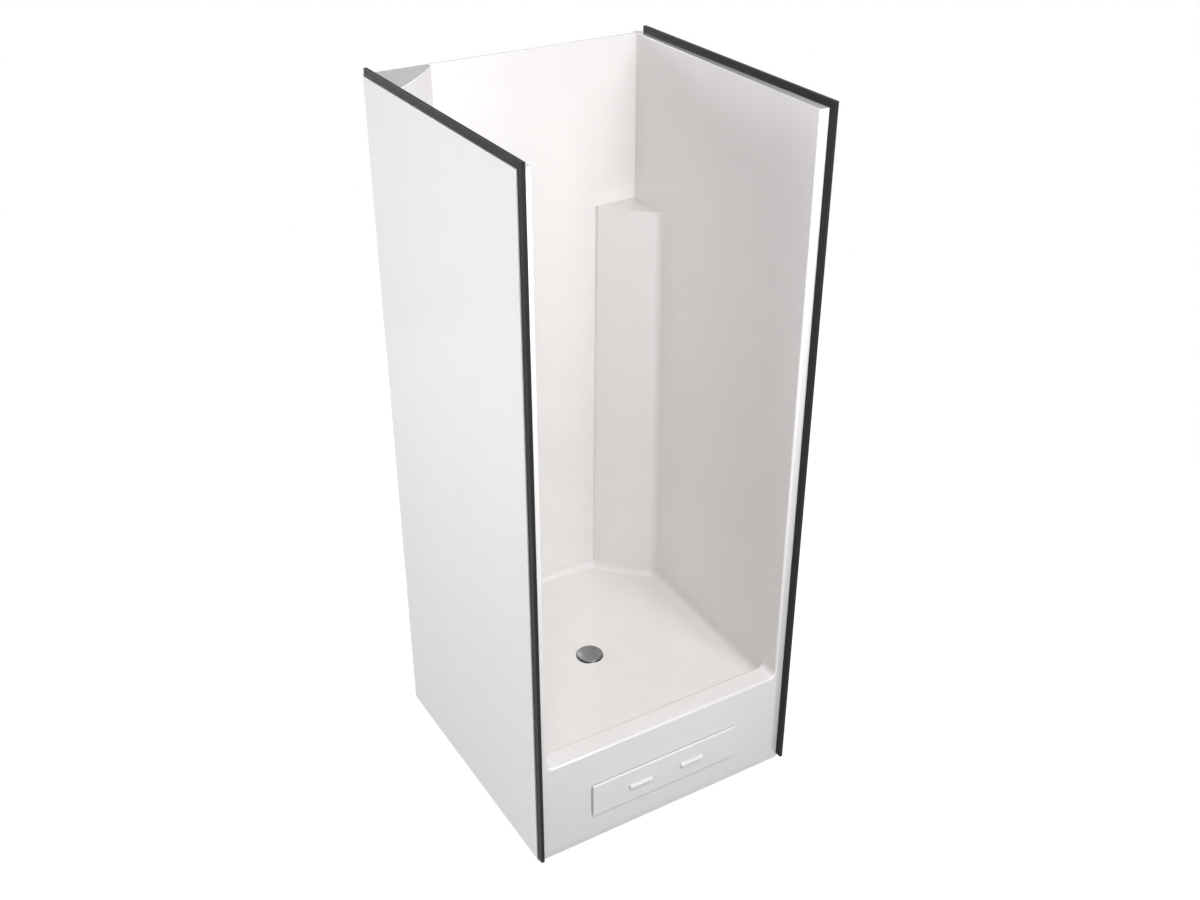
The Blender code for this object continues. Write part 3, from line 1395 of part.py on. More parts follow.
def make_foot(word, spot):
    """Levelling foot: round pad and stud."""
    pad = PAD_DIAMETER / 2
    stud = STUD_DIAMETER / 2
    neck = stud + PAD_NECK_WALL
    top = PAD_EDGE_HEIGHT + STUD_LENGTH
    profile = [
        (0, top),
        (stud - STUD_CHAMFER, top),
        (stud, top - STUD_CHAMFER),
        (stud, PAD_HEIGHT),
        (neck, PAD_HEIGHT),
        (pad, PAD_EDGE_HEIGHT),
        (pad, STUD_CHAMFER),
        (pad - STUD_CHAMFER, 0),
        (0, 0),
    ]
    return turned("foot_" + word, profile, (*spot, 0), "zinc_steel", SMALL_TURN_STEPS)


def make_locknut(word, spot):
    """Hexagon nut that locks a levelling foot under its leg."""
    corner = LOCKNUT_ACROSS_FLATS / math.sqrt(3)
    outer = circle(spot, corner, NUT_SIDES)
    inner = circle(spot, STUD_DIAMETER / 2 + THREAD_CLEARANCE, SMALL_TURN_STEPS)
    high = LEG_FOOT_HEIGHT - SEAT_GAP
    low = high - LOCKNUT_THICKNESS
    return plate("locknut_" + word, [outer, inner], low, high, STANDING, "zinc_steel")


def grip_screw_places():
    """Word, x and height of each screw of the two grips."""
    places = {}
    for side, word in SIDE_WORDS.items():
        for sign, end in ((-1, "a"), (1, "b")):
            x = side * GRIP_SPACING / 2 + sign * GRIP_SCREW_SPACING / 2
            places[word + "_" + end] = (x, PANEL_CENTRE_HEIGHT + GRIP_SCREW_RISE)
    return places


def panel_section(inset, y):
    """Outline of the access panel at one depth, one inset in from its edge."""
    width = PANEL_WIDTH - 2 * inset
    height = PANEL_HEIGHT - 2 * inset
    outline = access_outline(width, height, PANEL_CORNER_RADIUS - inset)
    return [(x, y, z) for x, z in outline]


def make_access_panel():
    """Removable panel in the apron: plate, locating rim and seats for two magnets."""
    back = -PANEL_BACK
    sections = [panel_section(0, PANEL_BACK)]
    for step in range(PANEL_EDGE_STEPS + 1):
        angle = math.pi / 2 * step / PANEL_EDGE_STEPS
        inset = PANEL_EDGE_RADIUS * (1 - math.cos(angle))
        rise = PANEL_EDGE_RADIUS * (1 - math.sin(angle))
        sections.append(panel_section(inset, PANEL_BACK - PANEL_THICKNESS + rise))
    panel = loft("access_panel", sections, "white_gelcoat")
    trim = 2 * SPIGOT_CLEARANCE
    radius = ACCESS_CORNER_RADIUS - SPIGOT_CLEARANCE
    outer = access_outline(ACCESS_WIDTH - trim, ACCESS_HEIGHT - trim, radius)
    trim += 2 * SPIGOT_WALL
    inner = access_outline(ACCESS_WIDTH - trim, ACCESS_HEIGHT - trim, radius - SPIGOT_WALL)
    rooted = back + PANEL_THICKNESS / 2
    rim = plate("panel_rim", [outer, inner], back - SPIGOT_DEPTH, rooted, FACING_FRONT)
    join(panel, rim)
    for side, word in SIDE_WORDS.items():
        x = side * MAGNET_X
        seat = box(
            "magnet_seat_" + word,
            (x - MAGNET_WIDTH / 2, -rooted, PANEL_CENTRE_HEIGHT - MAGNET_LENGTH / 2),
            (x + MAGNET_WIDTH / 2, MAGNET_FRONT - SEAT_GAP, PANEL_CENTRE_HEIGHT + MAGNET_LENGTH / 2),
        )
        join(panel, seat)
    for word, (x, height) in grip_screw_places().items():
        radius = GRIP_SCREW_DIAMETER / 2 + THREAD_CLEARANCE
        middle = (x, PANEL_BACK - PANEL_THICKNESS / 2, height)
        length = PANEL_THICKNESS + 2 * OVERRUN
        cut(panel, cylinder("panel_hole_" + word, middle, radius, length, "Y", SMALL_TURN_STEPS))
    return panel


def make_grip(side):
    """Finger grip on the panel: a lip with a groove along its underside."""
    word = SIDE_WORDS[side]
    face = PANEL_BACK - PANEL_THICKNESS - SEAT_GAP
    front = face - GRIP_DEPTH
    top = PANEL_CENTRE_HEIGHT + GRIP_HEIGHT / 2
    bottom = PANEL_CENTRE_HEIGHT - GRIP_HEIGHT / 2
    roof = bottom + GRIP_GROOVE_DEPTH
    corners = [
        (face, top),
        (front, top),
        (front, bottom),
        (front + GRIP_WALL, bottom),
        (front + GRIP_WALL, roof),
        (face - GRIP_WALL, roof),
        (face - GRIP_WALL, bottom),
        (face, bottom),
    ]
    radii = [0, GRIP_EDGE_RADIUS, GRIP_WALL / 3, 0, GRIP_WALL / 2, GRIP_WALL / 2, 0, 0]
    outline = rounded(corners, radii, GRIP_EDGE_STEPS)
    middle = side * GRIP_SPACING / 2
    start = middle - GRIP_LENGTH / 2
    grip = plate("grip_" + word, [outline], start, start + GRIP_LENGTH, FACING_SIDE, "white_gelcoat")
    for end, (x, height) in grip_screw_places().items():
        if not end.startswith(word):
            continue
        radius = GRIP_SCREW_DIAMETER / 2 + SEAT_GAP
        depth = GRIP_SCREW_BITE + 2 * SEAT_GAP
        hole_middle = (x, face - depth / 2 + OVERRUN / 2, height)
        hole_length = depth + OVERRUN
        hole = cylinder("grip_hole_" + end, hole_middle, radius, hole_length, "Y", SMALL_TURN_STEPS)
        cut(grip, hole)
    return grip


def make_grip_screw(word, spot):
    """Screw through the panel from behind into a grip."""
    shank = GRIP_SCREW_DIAMETER / 2
    head = GRIP_SCREW_HEAD / 2
    length = PANEL_THICKNESS + 2 * SEAT_GAP + GRIP_SCREW_BITE
    profile = [
        (0, GRIP_SCREW_HEAD_HEIGHT),
        (head - GRIP_SCREW_HEAD_HEIGHT / 2, GRIP_SCREW_HEAD_HEIGHT),
        (head, GRIP_SCREW_HEAD_HEIGHT / 2),
        (head, 0),
        (shank, 0),
        (shank, -length),
        (0, -length),
    ]
    centre = (spot[0], PANEL_BACK + SEAT_GAP, spot[1])
    name = "grip_screw_" + word
    return turned(name, profile, centre, "zinc_steel", SMALL_TURN_STEPS, TURNED_BACK)


def make_panel_gasket():
    """Soft ring between the panel and the apron."""
    outer_trim = -2 * GASKET_MARGIN
    outer = access_outline(PANEL_WIDTH + outer_trim, PANEL_HEIGHT + outer_trim, PANEL_CORNER_RADIUS)
    inner_trim = 2 * GASKET_MARGIN
    inner = access_outline(ACCESS_WIDTH + inner_trim, ACCESS_HEIGHT + inner_trim, ACCESS_CORNER_RADIUS)
    near = -FRONT + SEAT_GAP
    far = near + PANEL_GASKET
    return plate("panel_gasket", [outer, inner], near, far, FACING_FRONT, "black_rubber")


def make_access_frame():
    """Backing frame bonded behind the apron round the access hole, with two tabs."""
    grow = 2 * FRAME_BORDER
    radius = ACCESS_CORNER_RADIUS + FRAME_BORDER
    outer = access_outline(ACCESS_WIDTH + grow, ACCESS_HEIGHT + grow, radius)
    inner = access_outline(ACCESS_WIDTH, ACCESS_HEIGHT, ACCESS_CORNER_RADIUS)
    near = -FRAME_FRONT
    far = near - FRAME_THICKNESS
    frame = plate("access_frame", [outer, inner], far, near, FACING_FRONT, "grey_plastic")
    for side, word in SIDE_WORDS.items():
        root = ACCESS_WIDTH / 2 + FRAME_BORDER / 2
        tip = MAGNET_X - MAGNET_WIDTH / 2 - TAB_MARGIN
        half = MAGNET_LENGTH / 2 + TAB_MARGIN
        tab = box(
            "frame_tab_" + word,
            (min(side * root, side * tip), FRAME_FRONT, PANEL_CENTRE_HEIGHT - half),
            (max(side * root, side * tip), FRAME_FRONT + FRAME_THICKNESS, PANEL_CENTRE_HEIGHT + half),
        )
        join(frame, tab)
    return frame


def holding_block(name, side, front, thickness, finish_name):
    """A magnet or its strike, which share one outline."""
    x = side * MAGNET_X
    low = (x - MAGNET_WIDTH / 2, front, PANEL_CENTRE_HEIGHT - MAGNET_LENGTH / 2)
    high = (x + MAGNET_WIDTH / 2, front + thickness, PANEL_CENTRE_HEIGHT + MAGNET_LENGTH / 2)
    return box(name, low, high, finish_name)


def gather(name, spot, pieces):
    """Hang the pieces of one moving group on an empty on its line of travel."""
    holder = bpy.data.objects.new(name, None)
    holder.location = spot
    collection(PARTS).objects.link(holder)
    bpy.context.view_layer.update()
    for piece in pieces:
        piece.parent = holder
        piece.matrix_parent_inverse = holder.matrix_world.inverted()


def make_shell():
    """Base, walls, outer panels and towers."""
    make_base()
    make_rim_seal()
    for side in SIDE_WORDS:
        make_side_wall(side)
        make_side_core(side)
        make_side_panel(side)
    make_back_wall()
    make_back_core()
    make_back_panel()
    make_right_tower()
    make_left_tower()
    make_tower_cap()


def make_edge_bars():
    """The bars of both sides with their corner keys and caps."""
    for side in SIDE_WORDS:
        make_front_bar(side)
        make_top_bar(side)
        make_corner_key(side)
        make_bar_caps(side)


def make_waste():
    """The waste fitting, whose cover and dip tube lift out together."""
    make_drain_body()
    make_drain_seal()
    make_backnut()
    make_trap()
    make_outlet_nut()
    make_outlet_seal()
    lifted = [make_drain_cover(), make_dip_tube()]
    gather("drain_cover_lift", (0, DRAIN_Y, DRAIN_FLOOR), lifted)


def make_underframe():
    """Deck, welded frame and levelling feet under the floor."""
    make_floor_deck()
    make_support_frame()
    for word, spot in leg_places().items():
        make_foot(word, spot)
        make_locknut(word, spot)


def make_access():
    """The access panel with what it carries, and the frame and strikes that hold it."""
    make_access_frame()
    pulled = [make_access_panel(), make_panel_gasket()]
    for side, word in SIDE_WORDS.items():
        holding_block("strike_" + word, side, STRIKE_FRONT, STRIKE_THICKNESS, "zinc_steel")
        pulled.append(
            holding_block("magnet_" + word, side, MAGNET_FRONT, MAGNET_THICKNESS, "magnet")
        )
        pulled.append(make_grip(side))
    for word, spot in grip_screw_places().items():
        pulled.append(make_grip_screw(word, spot))
    gather("access_panel_slide", (0, PANEL_BACK, PANEL_CENTRE_HEIGHT), pulled)


def main():
    """Build the cabin."""
    clear_scene()
    make_shell()
    make_edge_bars()
    make_waste()
    make_underframe()
    make_access()


main()
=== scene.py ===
"""Shower cabin: glossy white moulded shell, charcoal edge bars, satin waste and lift-off apron panel."""

import logging
import math
from dataclasses import dataclass, replace
from enum import Enum
from typing import Callable, Sequence

import bmesh
import bpy
from mathutils import Matrix, Vector


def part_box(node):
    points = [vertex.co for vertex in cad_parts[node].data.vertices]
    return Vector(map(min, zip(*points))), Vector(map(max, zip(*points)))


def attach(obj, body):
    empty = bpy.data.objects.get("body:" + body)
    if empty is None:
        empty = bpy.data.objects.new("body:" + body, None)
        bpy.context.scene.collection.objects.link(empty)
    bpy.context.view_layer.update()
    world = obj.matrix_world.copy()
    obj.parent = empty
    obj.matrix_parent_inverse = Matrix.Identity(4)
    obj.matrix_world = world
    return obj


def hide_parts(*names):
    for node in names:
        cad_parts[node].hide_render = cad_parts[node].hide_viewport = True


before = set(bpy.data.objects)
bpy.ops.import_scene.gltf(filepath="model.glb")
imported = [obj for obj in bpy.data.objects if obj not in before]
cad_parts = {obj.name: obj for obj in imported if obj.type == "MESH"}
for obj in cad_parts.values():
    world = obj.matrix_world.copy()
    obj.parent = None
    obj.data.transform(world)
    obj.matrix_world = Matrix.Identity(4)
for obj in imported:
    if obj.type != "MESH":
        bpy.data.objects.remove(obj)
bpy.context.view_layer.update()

logging.basicConfig(level=logging.INFO, format="%(message)s")
log = logging.getLogger("cabin")

Point = tuple[float, float]
Spot = tuple[float, float, float]
EdgeTest = Callable[[Vector, Vector], bool]

MERGE = 0.00001
OVERRUN = 0.010
MILLIMETRE = 0.001
SHARP = math.radians(32)
STANDING = Matrix.Identity(4)
FACING_FRONT = Matrix(((1, 0, 0, 0), (0, 0, -1, 0), (0, 1, 0, 0), (0, 0, 0, 1)))
FACING_SIDE = Matrix(((0, 0, 1, 0), (1, 0, 0, 0), (0, 1, 0, 0), (0, 0, 0, 1)))
SIDES = {-1: "left", 1: "right"}


# ---------------------------------------------------------------- finishes


def linear(code: str) -> tuple[float, float, float, float]:
    """Turn an sRGB hex colour into linear values.

    Args:
        code: colour as "#RRGGBB".

    Returns:
        Linear red, green, blue and an alpha of one.
    """
    shares = [int(code[place : place + 2], 16) / 255 for place in (1, 3, 5)]
    toned = [s / 12.92 if s <= 0.04045 else ((s + 0.055) / 1.055) ** 2.4 for s in shares]
    return (*toned, 1.0)


def add_node(
    tree: bpy.types.NodeTree, kind: str, values: dict | None = None, links: dict | None = None
) -> bpy.types.Node:
    """Add a node with its settings and links.

    Args:
        tree: shader or geometry tree that the node goes into.
        kind: the node's type.
        values: input name or place, or the node's own setting, with its value.
        links: input name or place, with the socket that feeds it.

    Returns:
        The new node.
    """
    node = tree.nodes.new(kind)
    for key, value in (values or {}).items():
        if isinstance(key, int) or key in node.inputs:
            node.inputs[key].default_value = value
        else:
            setattr(node, key, value)
    for key, socket in (links or {}).items():
        tree.links.new(socket, node.inputs[key])
    return node


class Pattern(Enum):
    """What a surface shows close up."""

    MOULDED = "soft ripple of a polished mould"
    POWDER = "fine grain of a baked coating"
    TURNED = "rings left by polishing on a lathe"
    CELLS = "cells of rigid foam"
    PLIES = "grain on the faces, plies on the edges"
    SPANGLE = "crystals of a zinc plating"
    STRANDS = "chopped glass strands in resin"


@dataclass(frozen=True)
class Finish:
    """A real surface: what it is made of, how it was made and how it takes light."""

    name: str
    slot: str
    colour: str
    second: str
    roughness: float
    pattern: Pattern
    size_mm: float
    relief_mm: float
    ior: float = 1.5
    metallic: float = 0.0
    coat: float = 0.0
    coat_roughness: float = 0.03
    spread: float = 0.05
    centre: Spot = (0.0, 0.0, 0.0)
    broad: float = 22.0
    ripple_share: float = 9.0
    strand_reach: float = 0.12
    swirl_scale: float = 60.0
    swirl_reach: float = 0.03
    grain_stretch: float = 14.0
    least_roughness: float = 0.02

    def material(self) -> bpy.types.Material:
        """Return the finish's material, made on first use."""
        found = bpy.data.materials.get(self.name)
        return found or self.build()

    def build(self) -> bpy.types.Material:
        """Make the material's nodes: colour, roughness and relief from one field.

        Returns:
            The new material.
        """
        material = bpy.data.materials.new(self.name)
        material.use_nodes = True
        tree = material.node_tree
        shader = tree.nodes["Principled BSDF"]
        shader.inputs["IOR"].default_value = self.ior
        shader.inputs["Metallic"].default_value = self.metallic
        shader.inputs["Coat Weight"].default_value = self.coat
        shader.inputs["Coat Roughness"].default_value = self.coat_roughness
        place = add_node(tree, "ShaderNodeTexCoord").outputs["Object"]
        place = add_node(
            tree, "ShaderNodeMapping", {"Location": tuple(-c for c in self.centre)}, {"Vector": place}
        ).outputs["Vector"]
        tone, height = self.field(tree, place)
        mix = add_node(tree, "ShaderNodeMix", {"data_type": "RGBA"}, {"Factor": tone})
        mix.inputs[6].default_value = linear(self.colour)
        mix.inputs[7].default_value = linear(self.second)
        tree.links.new(mix.outputs[2], shader.inputs["Base Color"])
        rough = add_node(
            tree,
            "ShaderNodeMapRange",
            {
                "To Min": max(self.roughness - self.spread, self.least_roughness),
                "To Max": self.roughness + self.spread,
            },
            {"Value": tone},
        )
        tree.links.new(rough.outputs["Result"], shader.inputs["Roughness"])
        relief = {"Strength": 1.0, "Distance": self.relief_mm * MILLIMETRE}
        bump = add_node(tree, "ShaderNodeBump", relief, {"Height": height})
        tree.links.new(bump.outputs["Normal"], shader.inputs["Normal"])
        return material

    def noise(
        self, tree: bpy.types.NodeTree, place: bpy.types.NodeSocket, size_mm: float, detail: float = 2.0
    ) -> bpy.types.NodeSocket:
        """Return a noise whose features are size_mm wide.

        Args:
            tree: the material's tree.
            place: socket with the object coordinates.
            size_mm: width of a feature.
            detail: layers of finer noise.

        Returns:
            The noise's socket.
        """
        values = {"Scale": 1.0 / (size_mm * MILLIMETRE), "Detail": detail, "Roughness": 0.5}
        return add_node(tree, "ShaderNodeTexNoise", values, {"Vector": place}).outputs["Fac"]

    def field(self, tree: bpy.types.NodeTree, place: bpy.types.NodeSocket) -> tuple:
        """Lay out the pattern's nodes.

        Args:
            tree: the material's tree.
            place: socket with the object coordinates.

        Returns:
            Sockets for the share of the second colour and for the height.
        """
        fine = self.noise(tree, place, self.size_mm)
        broad = self.noise(tree, place, self.size_mm * self.broad)
        if self.pattern is Pattern.MOULDED:
            share = {"operation": "MULTIPLY_ADD", 1: self.ripple_share}
            ripple = add_node(tree, "ShaderNodeMath", share, {0: broad, 2: fine}).outputs["Value"]
            return broad, ripple
        if self.pattern is Pattern.TURNED:
            level = {"operation": "MULTIPLY", 1: (1.0, 1.0, 0.0)}
            flat = add_node(tree, "ShaderNodeVectorMath", level, {0: place}).outputs["Vector"]
            reach = add_node(tree, "ShaderNodeVectorMath", {"operation": "LENGTH"}, {0: flat})
            reach = reach.outputs["Value"]
            values = {"noise_dimensions": "1D", "Scale": 1.0 / (self.size_mm * MILLIMETRE), "Detail": 3.0}
            rings = add_node(tree, "ShaderNodeTexNoise", values, {"W": reach}).outputs["Fac"]
            return rings, rings
        if self.pattern is Pattern.CELLS:
            values = {"Scale": 1.0 / (self.size_mm * MILLIMETRE)}
            cells = add_node(tree, "ShaderNodeTexVoronoi", values, {"Vector": place}).outputs["Distance"]
            return broad, cells
        if self.pattern is Pattern.STRANDS:
            values = {"Scale": 1.0 / (self.size_mm * MILLIMETRE), "feature": "DISTANCE_TO_EDGE"}
            curls = {"Scale": self.swirl_scale, "Detail": 1.0}
            swirl = add_node(tree, "ShaderNodeTexNoise", curls, {"Vector": place}).outputs["Color"]
            bend = {"operation": "SCALE", "Scale": self.swirl_reach}
            shift = add_node(tree, "ShaderNodeVectorMath", bend, {0: swirl}).outputs["Vector"]
            warped = add_node(tree, "ShaderNodeVectorMath", {"operation": "ADD"}, {0: place, 1: shift})
            web = add_node(tree, "ShaderNodeTexVoronoi", values, {"Vector": warped.outputs["Vector"]})
            web = web.outputs["Distance"]
            fade = {"From Max": self.strand_reach, "To Min": 1.0, "To Max": 0.0}
            strand = add_node(tree, "ShaderNodeMapRange", fade, {"Value": web}).outputs["Result"]
            return strand, strand
        if self.pattern is Pattern.PLIES:
            return self.plywood(tree, place)
        return fine, fine

    def plywood(self, tree: bpy.types.NodeTree, place: bpy.types.NodeSocket) -> tuple:
        """Return sockets for long grain on level faces and bands of plies on edges."""
        lengthwise = {"Scale": (1.0, self.grain_stretch, self.grain_stretch)}
        stretch = add_node(tree, "ShaderNodeMapping", lengthwise, {"Vector": place})
        grain = self.noise(tree, stretch.outputs["Vector"], self.size_mm * self.broad, 5.0)
        parts = add_node(tree, "ShaderNodeSeparateXYZ", {}, {"Vector": place})
        ply = self.size_mm * MILLIMETRE
        bands = add_node(tree, "ShaderNodeMath", {"operation": "PINGPONG", 1: ply}, {0: parts.outputs["Z"]})
        plies = add_node(tree, "ShaderNodeMapRange", {"From Max": ply}, {"Value": bands.outputs["Value"]})
        plies = plies.outputs["Result"]
        normal = add_node(tree, "ShaderNodeNewGeometry").outputs["Normal"]
        level = add_node(tree, "ShaderNodeSeparateXYZ", {}, {"Vector": normal}).outputs["Z"]
        level = add_node(tree, "ShaderNodeMath", {"operation": "ABSOLUTE"}, {0: level}).outputs["Value"]
        mix = add_node(tree, "ShaderNodeMix", {"data_type": "FLOAT"}, {0: level, 2: plies, 3: grain})
        return mix.outputs[0], grain


# Gelcoat is a hard polyester skin that copies a polished mould: glossy, with a very faint ripple.
GELCOAT = Finish(
    "white_gelcoat", "shell", "#DFDDDC", "#DBD9D8", 0.15, Pattern.MOULDED, 5.0, 0.0015, 1.58,
    coat=0.8, coat_roughness=0.11, spread=0.015,
)
# The back stands against a wall: a flat sheet of the same white, satin and not polished.
BACK_SHEET = Finish(
    "white_satin_sheet", "shell", "#DFDDDC", "#DBD9D8", 0.38, Pattern.MOULDED, 5.0, 0.0015, 1.50, spread=0.03,
)
# Behind the gelcoat the laminate shows its resin and chopped strands.
LAMINATE = Finish("glass_laminate", "shell", "#C9C5AE", "#DDDAC8", 0.42, Pattern.STRANDS, 9.0, 0.25, 1.52)
# Baked powder on aluminium: dark, satin and slightly grainy.
POWDER_COAT = Finish(
    "charcoal_powder_coat", "bar", "#19191B", "#1F1F21", 0.48, Pattern.POWDER, 1.2, 0.02, 1.25,
)
# ABS moulded against a blasted face: pale grey and matt, with no clear reflection.
CAP_ABS = Finish("grey_abs_cap", "cap", "#EDECEB", "#F1F0EF", 0.55, Pattern.POWDER, 1.5, 0.02, 1.53)
# Sawn rigid foam: straw coloured and dull, with open cells.
FOAM = Finish("rigid_foam", "foam", "#E3D6A8", "#D6C793", 0.85, Pattern.CELLS, 1.6, 0.3, 1.45)
# Sanded birch plywood: long grain on the faces and a band for each ply on the edges.
PLYWOOD = Finish("birch_plywood", "plywood", "#C9A678", "#A98354", 0.62, Pattern.PLIES, 1.7, 0.08, 1.45)
# Stoved paint over steel tube: an even grey with a soft shine.
FRAME_PAINT = Finish(
    "grey_stoved_paint", "frame_steel", "#5B5E62", "#63666A", 0.40, Pattern.POWDER, 2.0, 0.03,
)
# Bright zinc plate on the threaded parts: metallic, faintly clouded from crystal to crystal.
ZINC = Finish(
    "bright_zinc_plate", "zinc", "#C6C7C3", "#AEB0AD", 0.30, Pattern.SPANGLE, 2.0, 0.006, metallic=1.0,
)
# Injection-moulded polypropylene: a waxy mid grey.
PIPE = Finish(
    "grey_polypropylene", "pipe_plastic", "#6C6F72", "#737679", 0.42, Pattern.POWDER, 1.4, 0.02, 1.49,
)
# Extruded EPDM rubber: near black and dull.
RUBBER = Finish("black_epdm", "rubber", "#161616", "#1C1C1C", 0.75, Pattern.POWDER, 1.0, 0.03, 1.52)
# A magnet in a moulded case: dark and half matt.
MAGNET = Finish("cased_magnet", "magnet", "#2A2A2C", "#323234", 0.50, Pattern.POWDER, 1.2, 0.02)
# Stainless steel polished on a lathe, so its highlights follow fine rings.
SATIN_STEEL = Finish(
    "satin_stainless", "waste_metal", "#868685", "#9A9A99", 0.24, Pattern.TURNED, 0.7, 0.01, metallic=1.0,
    spread=0.08, centre=(0.0, 0.0115, 0.0),
)


# ---------------------------------------------------------------- shaping


def arc(centre: Point, radius: float, start: float, end: float, steps: int) -> list[Point]:
    """Return points on an arc with both ends, angles in degrees.

    Args:
        centre: middle of the arc.
        radius: its radius.
        start: angle of the first point.
        end: angle of the last point.
        steps: pieces in the arc.

    Returns:
        The points.
    """
    turns = [math.radians(start + (end - start) * step / steps) for step in range(steps + 1)]
    return [(centre[0] + radius * math.cos(t), centre[1] + radius * math.sin(t)) for t in turns]


def rectangle(width: float, height: float, centre: Point = (0.0, 0.0)) -> list[Point]:
    """Return a rectangle's corners, anticlockwise.

    Args:
        width: size across.
        height: size upwards.
        centre: its middle.

    Returns:
        The four corners.
    """
    signs = ((-1, -1), (1, -1), (1, 1), (-1, 1))
    return [(centre[0] + sx * width / 2, centre[1] + sy * height / 2) for sx, sy in signs]


def rounded(corners: Sequence[Point], radii: Sequence[float], steps: int) -> list[Point]:
    """Round the corners of a closed outline.

    Args:
        corners: the outline's corners in order.
        radii: one radius for each corner, nothing for a sharp one.
        steps: pieces in each arc.

    Returns:
        The rounded outline.
    """
    points: list[Point] = []
    for index, radius in enumerate(radii):
        here = Vector(corners[index])
        if radius <= 0:
            points.append(tuple(here))
            continue
        back_way = (Vector(corners[index - 1]) - here).normalized()
        on_way = (Vector(corners[(index + 1) % len(corners)]) - here).normalized()
        half = back_way.angle(on_way) / 2
        centre = here + (back_way + on_way).normalized() * (radius / math.sin(half))
        start = here + back_way * (radius / math.tan(half)) - centre
        end = here + on_way * (radius / math.tan(half)) - centre
        turn = start.angle_signed(end)
        first = math.atan2(start.y, start.x)
        for step in range(steps + 1):
            angle = first - turn * step / steps
            points.append(tuple(centre + Vector((math.cos(angle), math.sin(angle))) * radius))
    return points


def grown(outline: Sequence[Point], distance: float) -> list[Point]:
    """Move a closed outline outwards by one distance.

    Args:
        outline: the closed outline.
        distance: the way outwards, inwards if negative.

    Returns:
        The moved outline.
    """
    pairs = zip(outline, [*outline[1:], outline[0]])
    area = sum(a[0] * b[1] - b[0] * a[1] for a, b in pairs)
    sign = 1 if area > 0 else -1
    result = []
    for index, corner in enumerate(outline):
        here = Vector(corner)
        first = (here - Vector(outline[index - 1])).normalized()
        second = (Vector(outline[(index + 1) % len(outline)]) - here).normalized()
        normal = Vector((first.y, -first.x)) * sign
        middle = (normal + Vector((second.y, -second.x)) * sign).normalized()
        result.append(tuple(here + middle * (distance / middle.dot(normal))))
    return result


def from_bmesh(name: str, bm: bmesh.types.BMesh) -> bpy.types.Object:
    """Turn a bmesh into an object in the scene, faces outwards.

    Args:
        name: the object's name.
        bm: the shape, freed here.

    Returns:
        The new object.
    """
    bmesh.ops.remove_doubles(bm, verts=bm.verts, dist=MERGE)
    bmesh.ops.recalc_face_normals(bm, faces=bm.faces)
    mesh = bpy.data.meshes.new(name)
    bm.to_mesh(mesh)
    bm.free()
    obj = bpy.data.objects.new(name, mesh)
    bpy.context.scene.collection.objects.link(obj)
    return obj


def evaluated(obj: bpy.types.Object) -> bpy.types.Mesh:
    """Return a plain mesh of an object as its modifiers leave it.

    Args:
        obj: the object.

    Returns:
        A new mesh in world coordinates.
    """
    graph = bpy.context.evaluated_depsgraph_get()
    graph.update()
    final = obj.evaluated_get(graph)
    mesh = bpy.data.meshes.new_from_object(final, preserve_all_data_layers=True, depsgraph=graph)
    mesh.transform(obj.matrix_world)
    return mesh


def block(name: str, low: Spot, high: Spot) -> bpy.types.Object:
    """Make a box between two corners.

    Args:
        name: the object's name.
        low: lowest corner.
        high: highest corner.

    Returns:
        The box.
    """
    bm = bmesh.new()
    bmesh.ops.create_cube(bm, size=1.0)
    size = Vector(high) - Vector(low)
    bmesh.ops.scale(bm, vec=size, verts=bm.verts)
    bmesh.ops.translate(bm, vec=(Vector(low) + Vector(high)) / 2, verts=bm.verts)
    return from_bmesh(name, bm)


def loft(name: str, sections: Sequence[Sequence[Spot]]) -> bpy.types.Object:
    """Skin closed sections of equal point counts and cap both ends.

    Args:
        name: the object's name.
        sections: closed rings of points, in order.

    Returns:
        The closed skin.
    """
    bm = bmesh.new()
    rings = [[bm.verts.new(point) for point in section] for section in sections]
    for lower, upper in zip(rings, rings[1:]):
        for index in range(len(lower)):
            after = (index + 1) % len(lower)
            bm.faces.new((lower[index], lower[after], upper[after], upper[index]))
    bm.faces.new(list(reversed(rings[0])))
    bm.faces.new(rings[-1])
    return from_bmesh(name, bm)


def plate(
    name: str, outlines: Sequence[Sequence[Point]], start: float, end: float, turn: Matrix = STANDING
) -> bpy.types.Object:
    """Extrude flat outlines between two distances along the turned outline's normal.

    Args:
        name: the object's name.
        outlines: closed outlines, the first round the others, which are holes.
        start: distance of the first face.
        end: distance of the last face.
        turn: exact turn from the flat outline to its place.

    Returns:
        The closed plate.
    """
    curve = bpy.data.curves.new(name, "CURVE")
    curve.dimensions = "2D"
    curve.fill_mode = "BOTH"
    curve.extrude = abs(end - start) / 2
    for outline in outlines:
        spline = curve.splines.new("POLY")
        spline.points.add(len(outline) - 1)
        for point, spot in zip(spline.points, outline):
            point.co = (spot[0], spot[1], 0, 1)
        spline.use_cyclic_u = True
    holder = bpy.data.objects.new(name + "_outline", curve)
    bpy.context.scene.collection.objects.link(holder)
    bm = bmesh.new()
    bm.from_mesh(evaluated(holder))
    bpy.data.objects.remove(holder, do_unlink=True)
    for vert in bm.verts:
        vert.co.z = max(start, end) if vert.co.z > 0 else min(start, end)
    bm.transform(turn)
    return from_bmesh(name, bm)


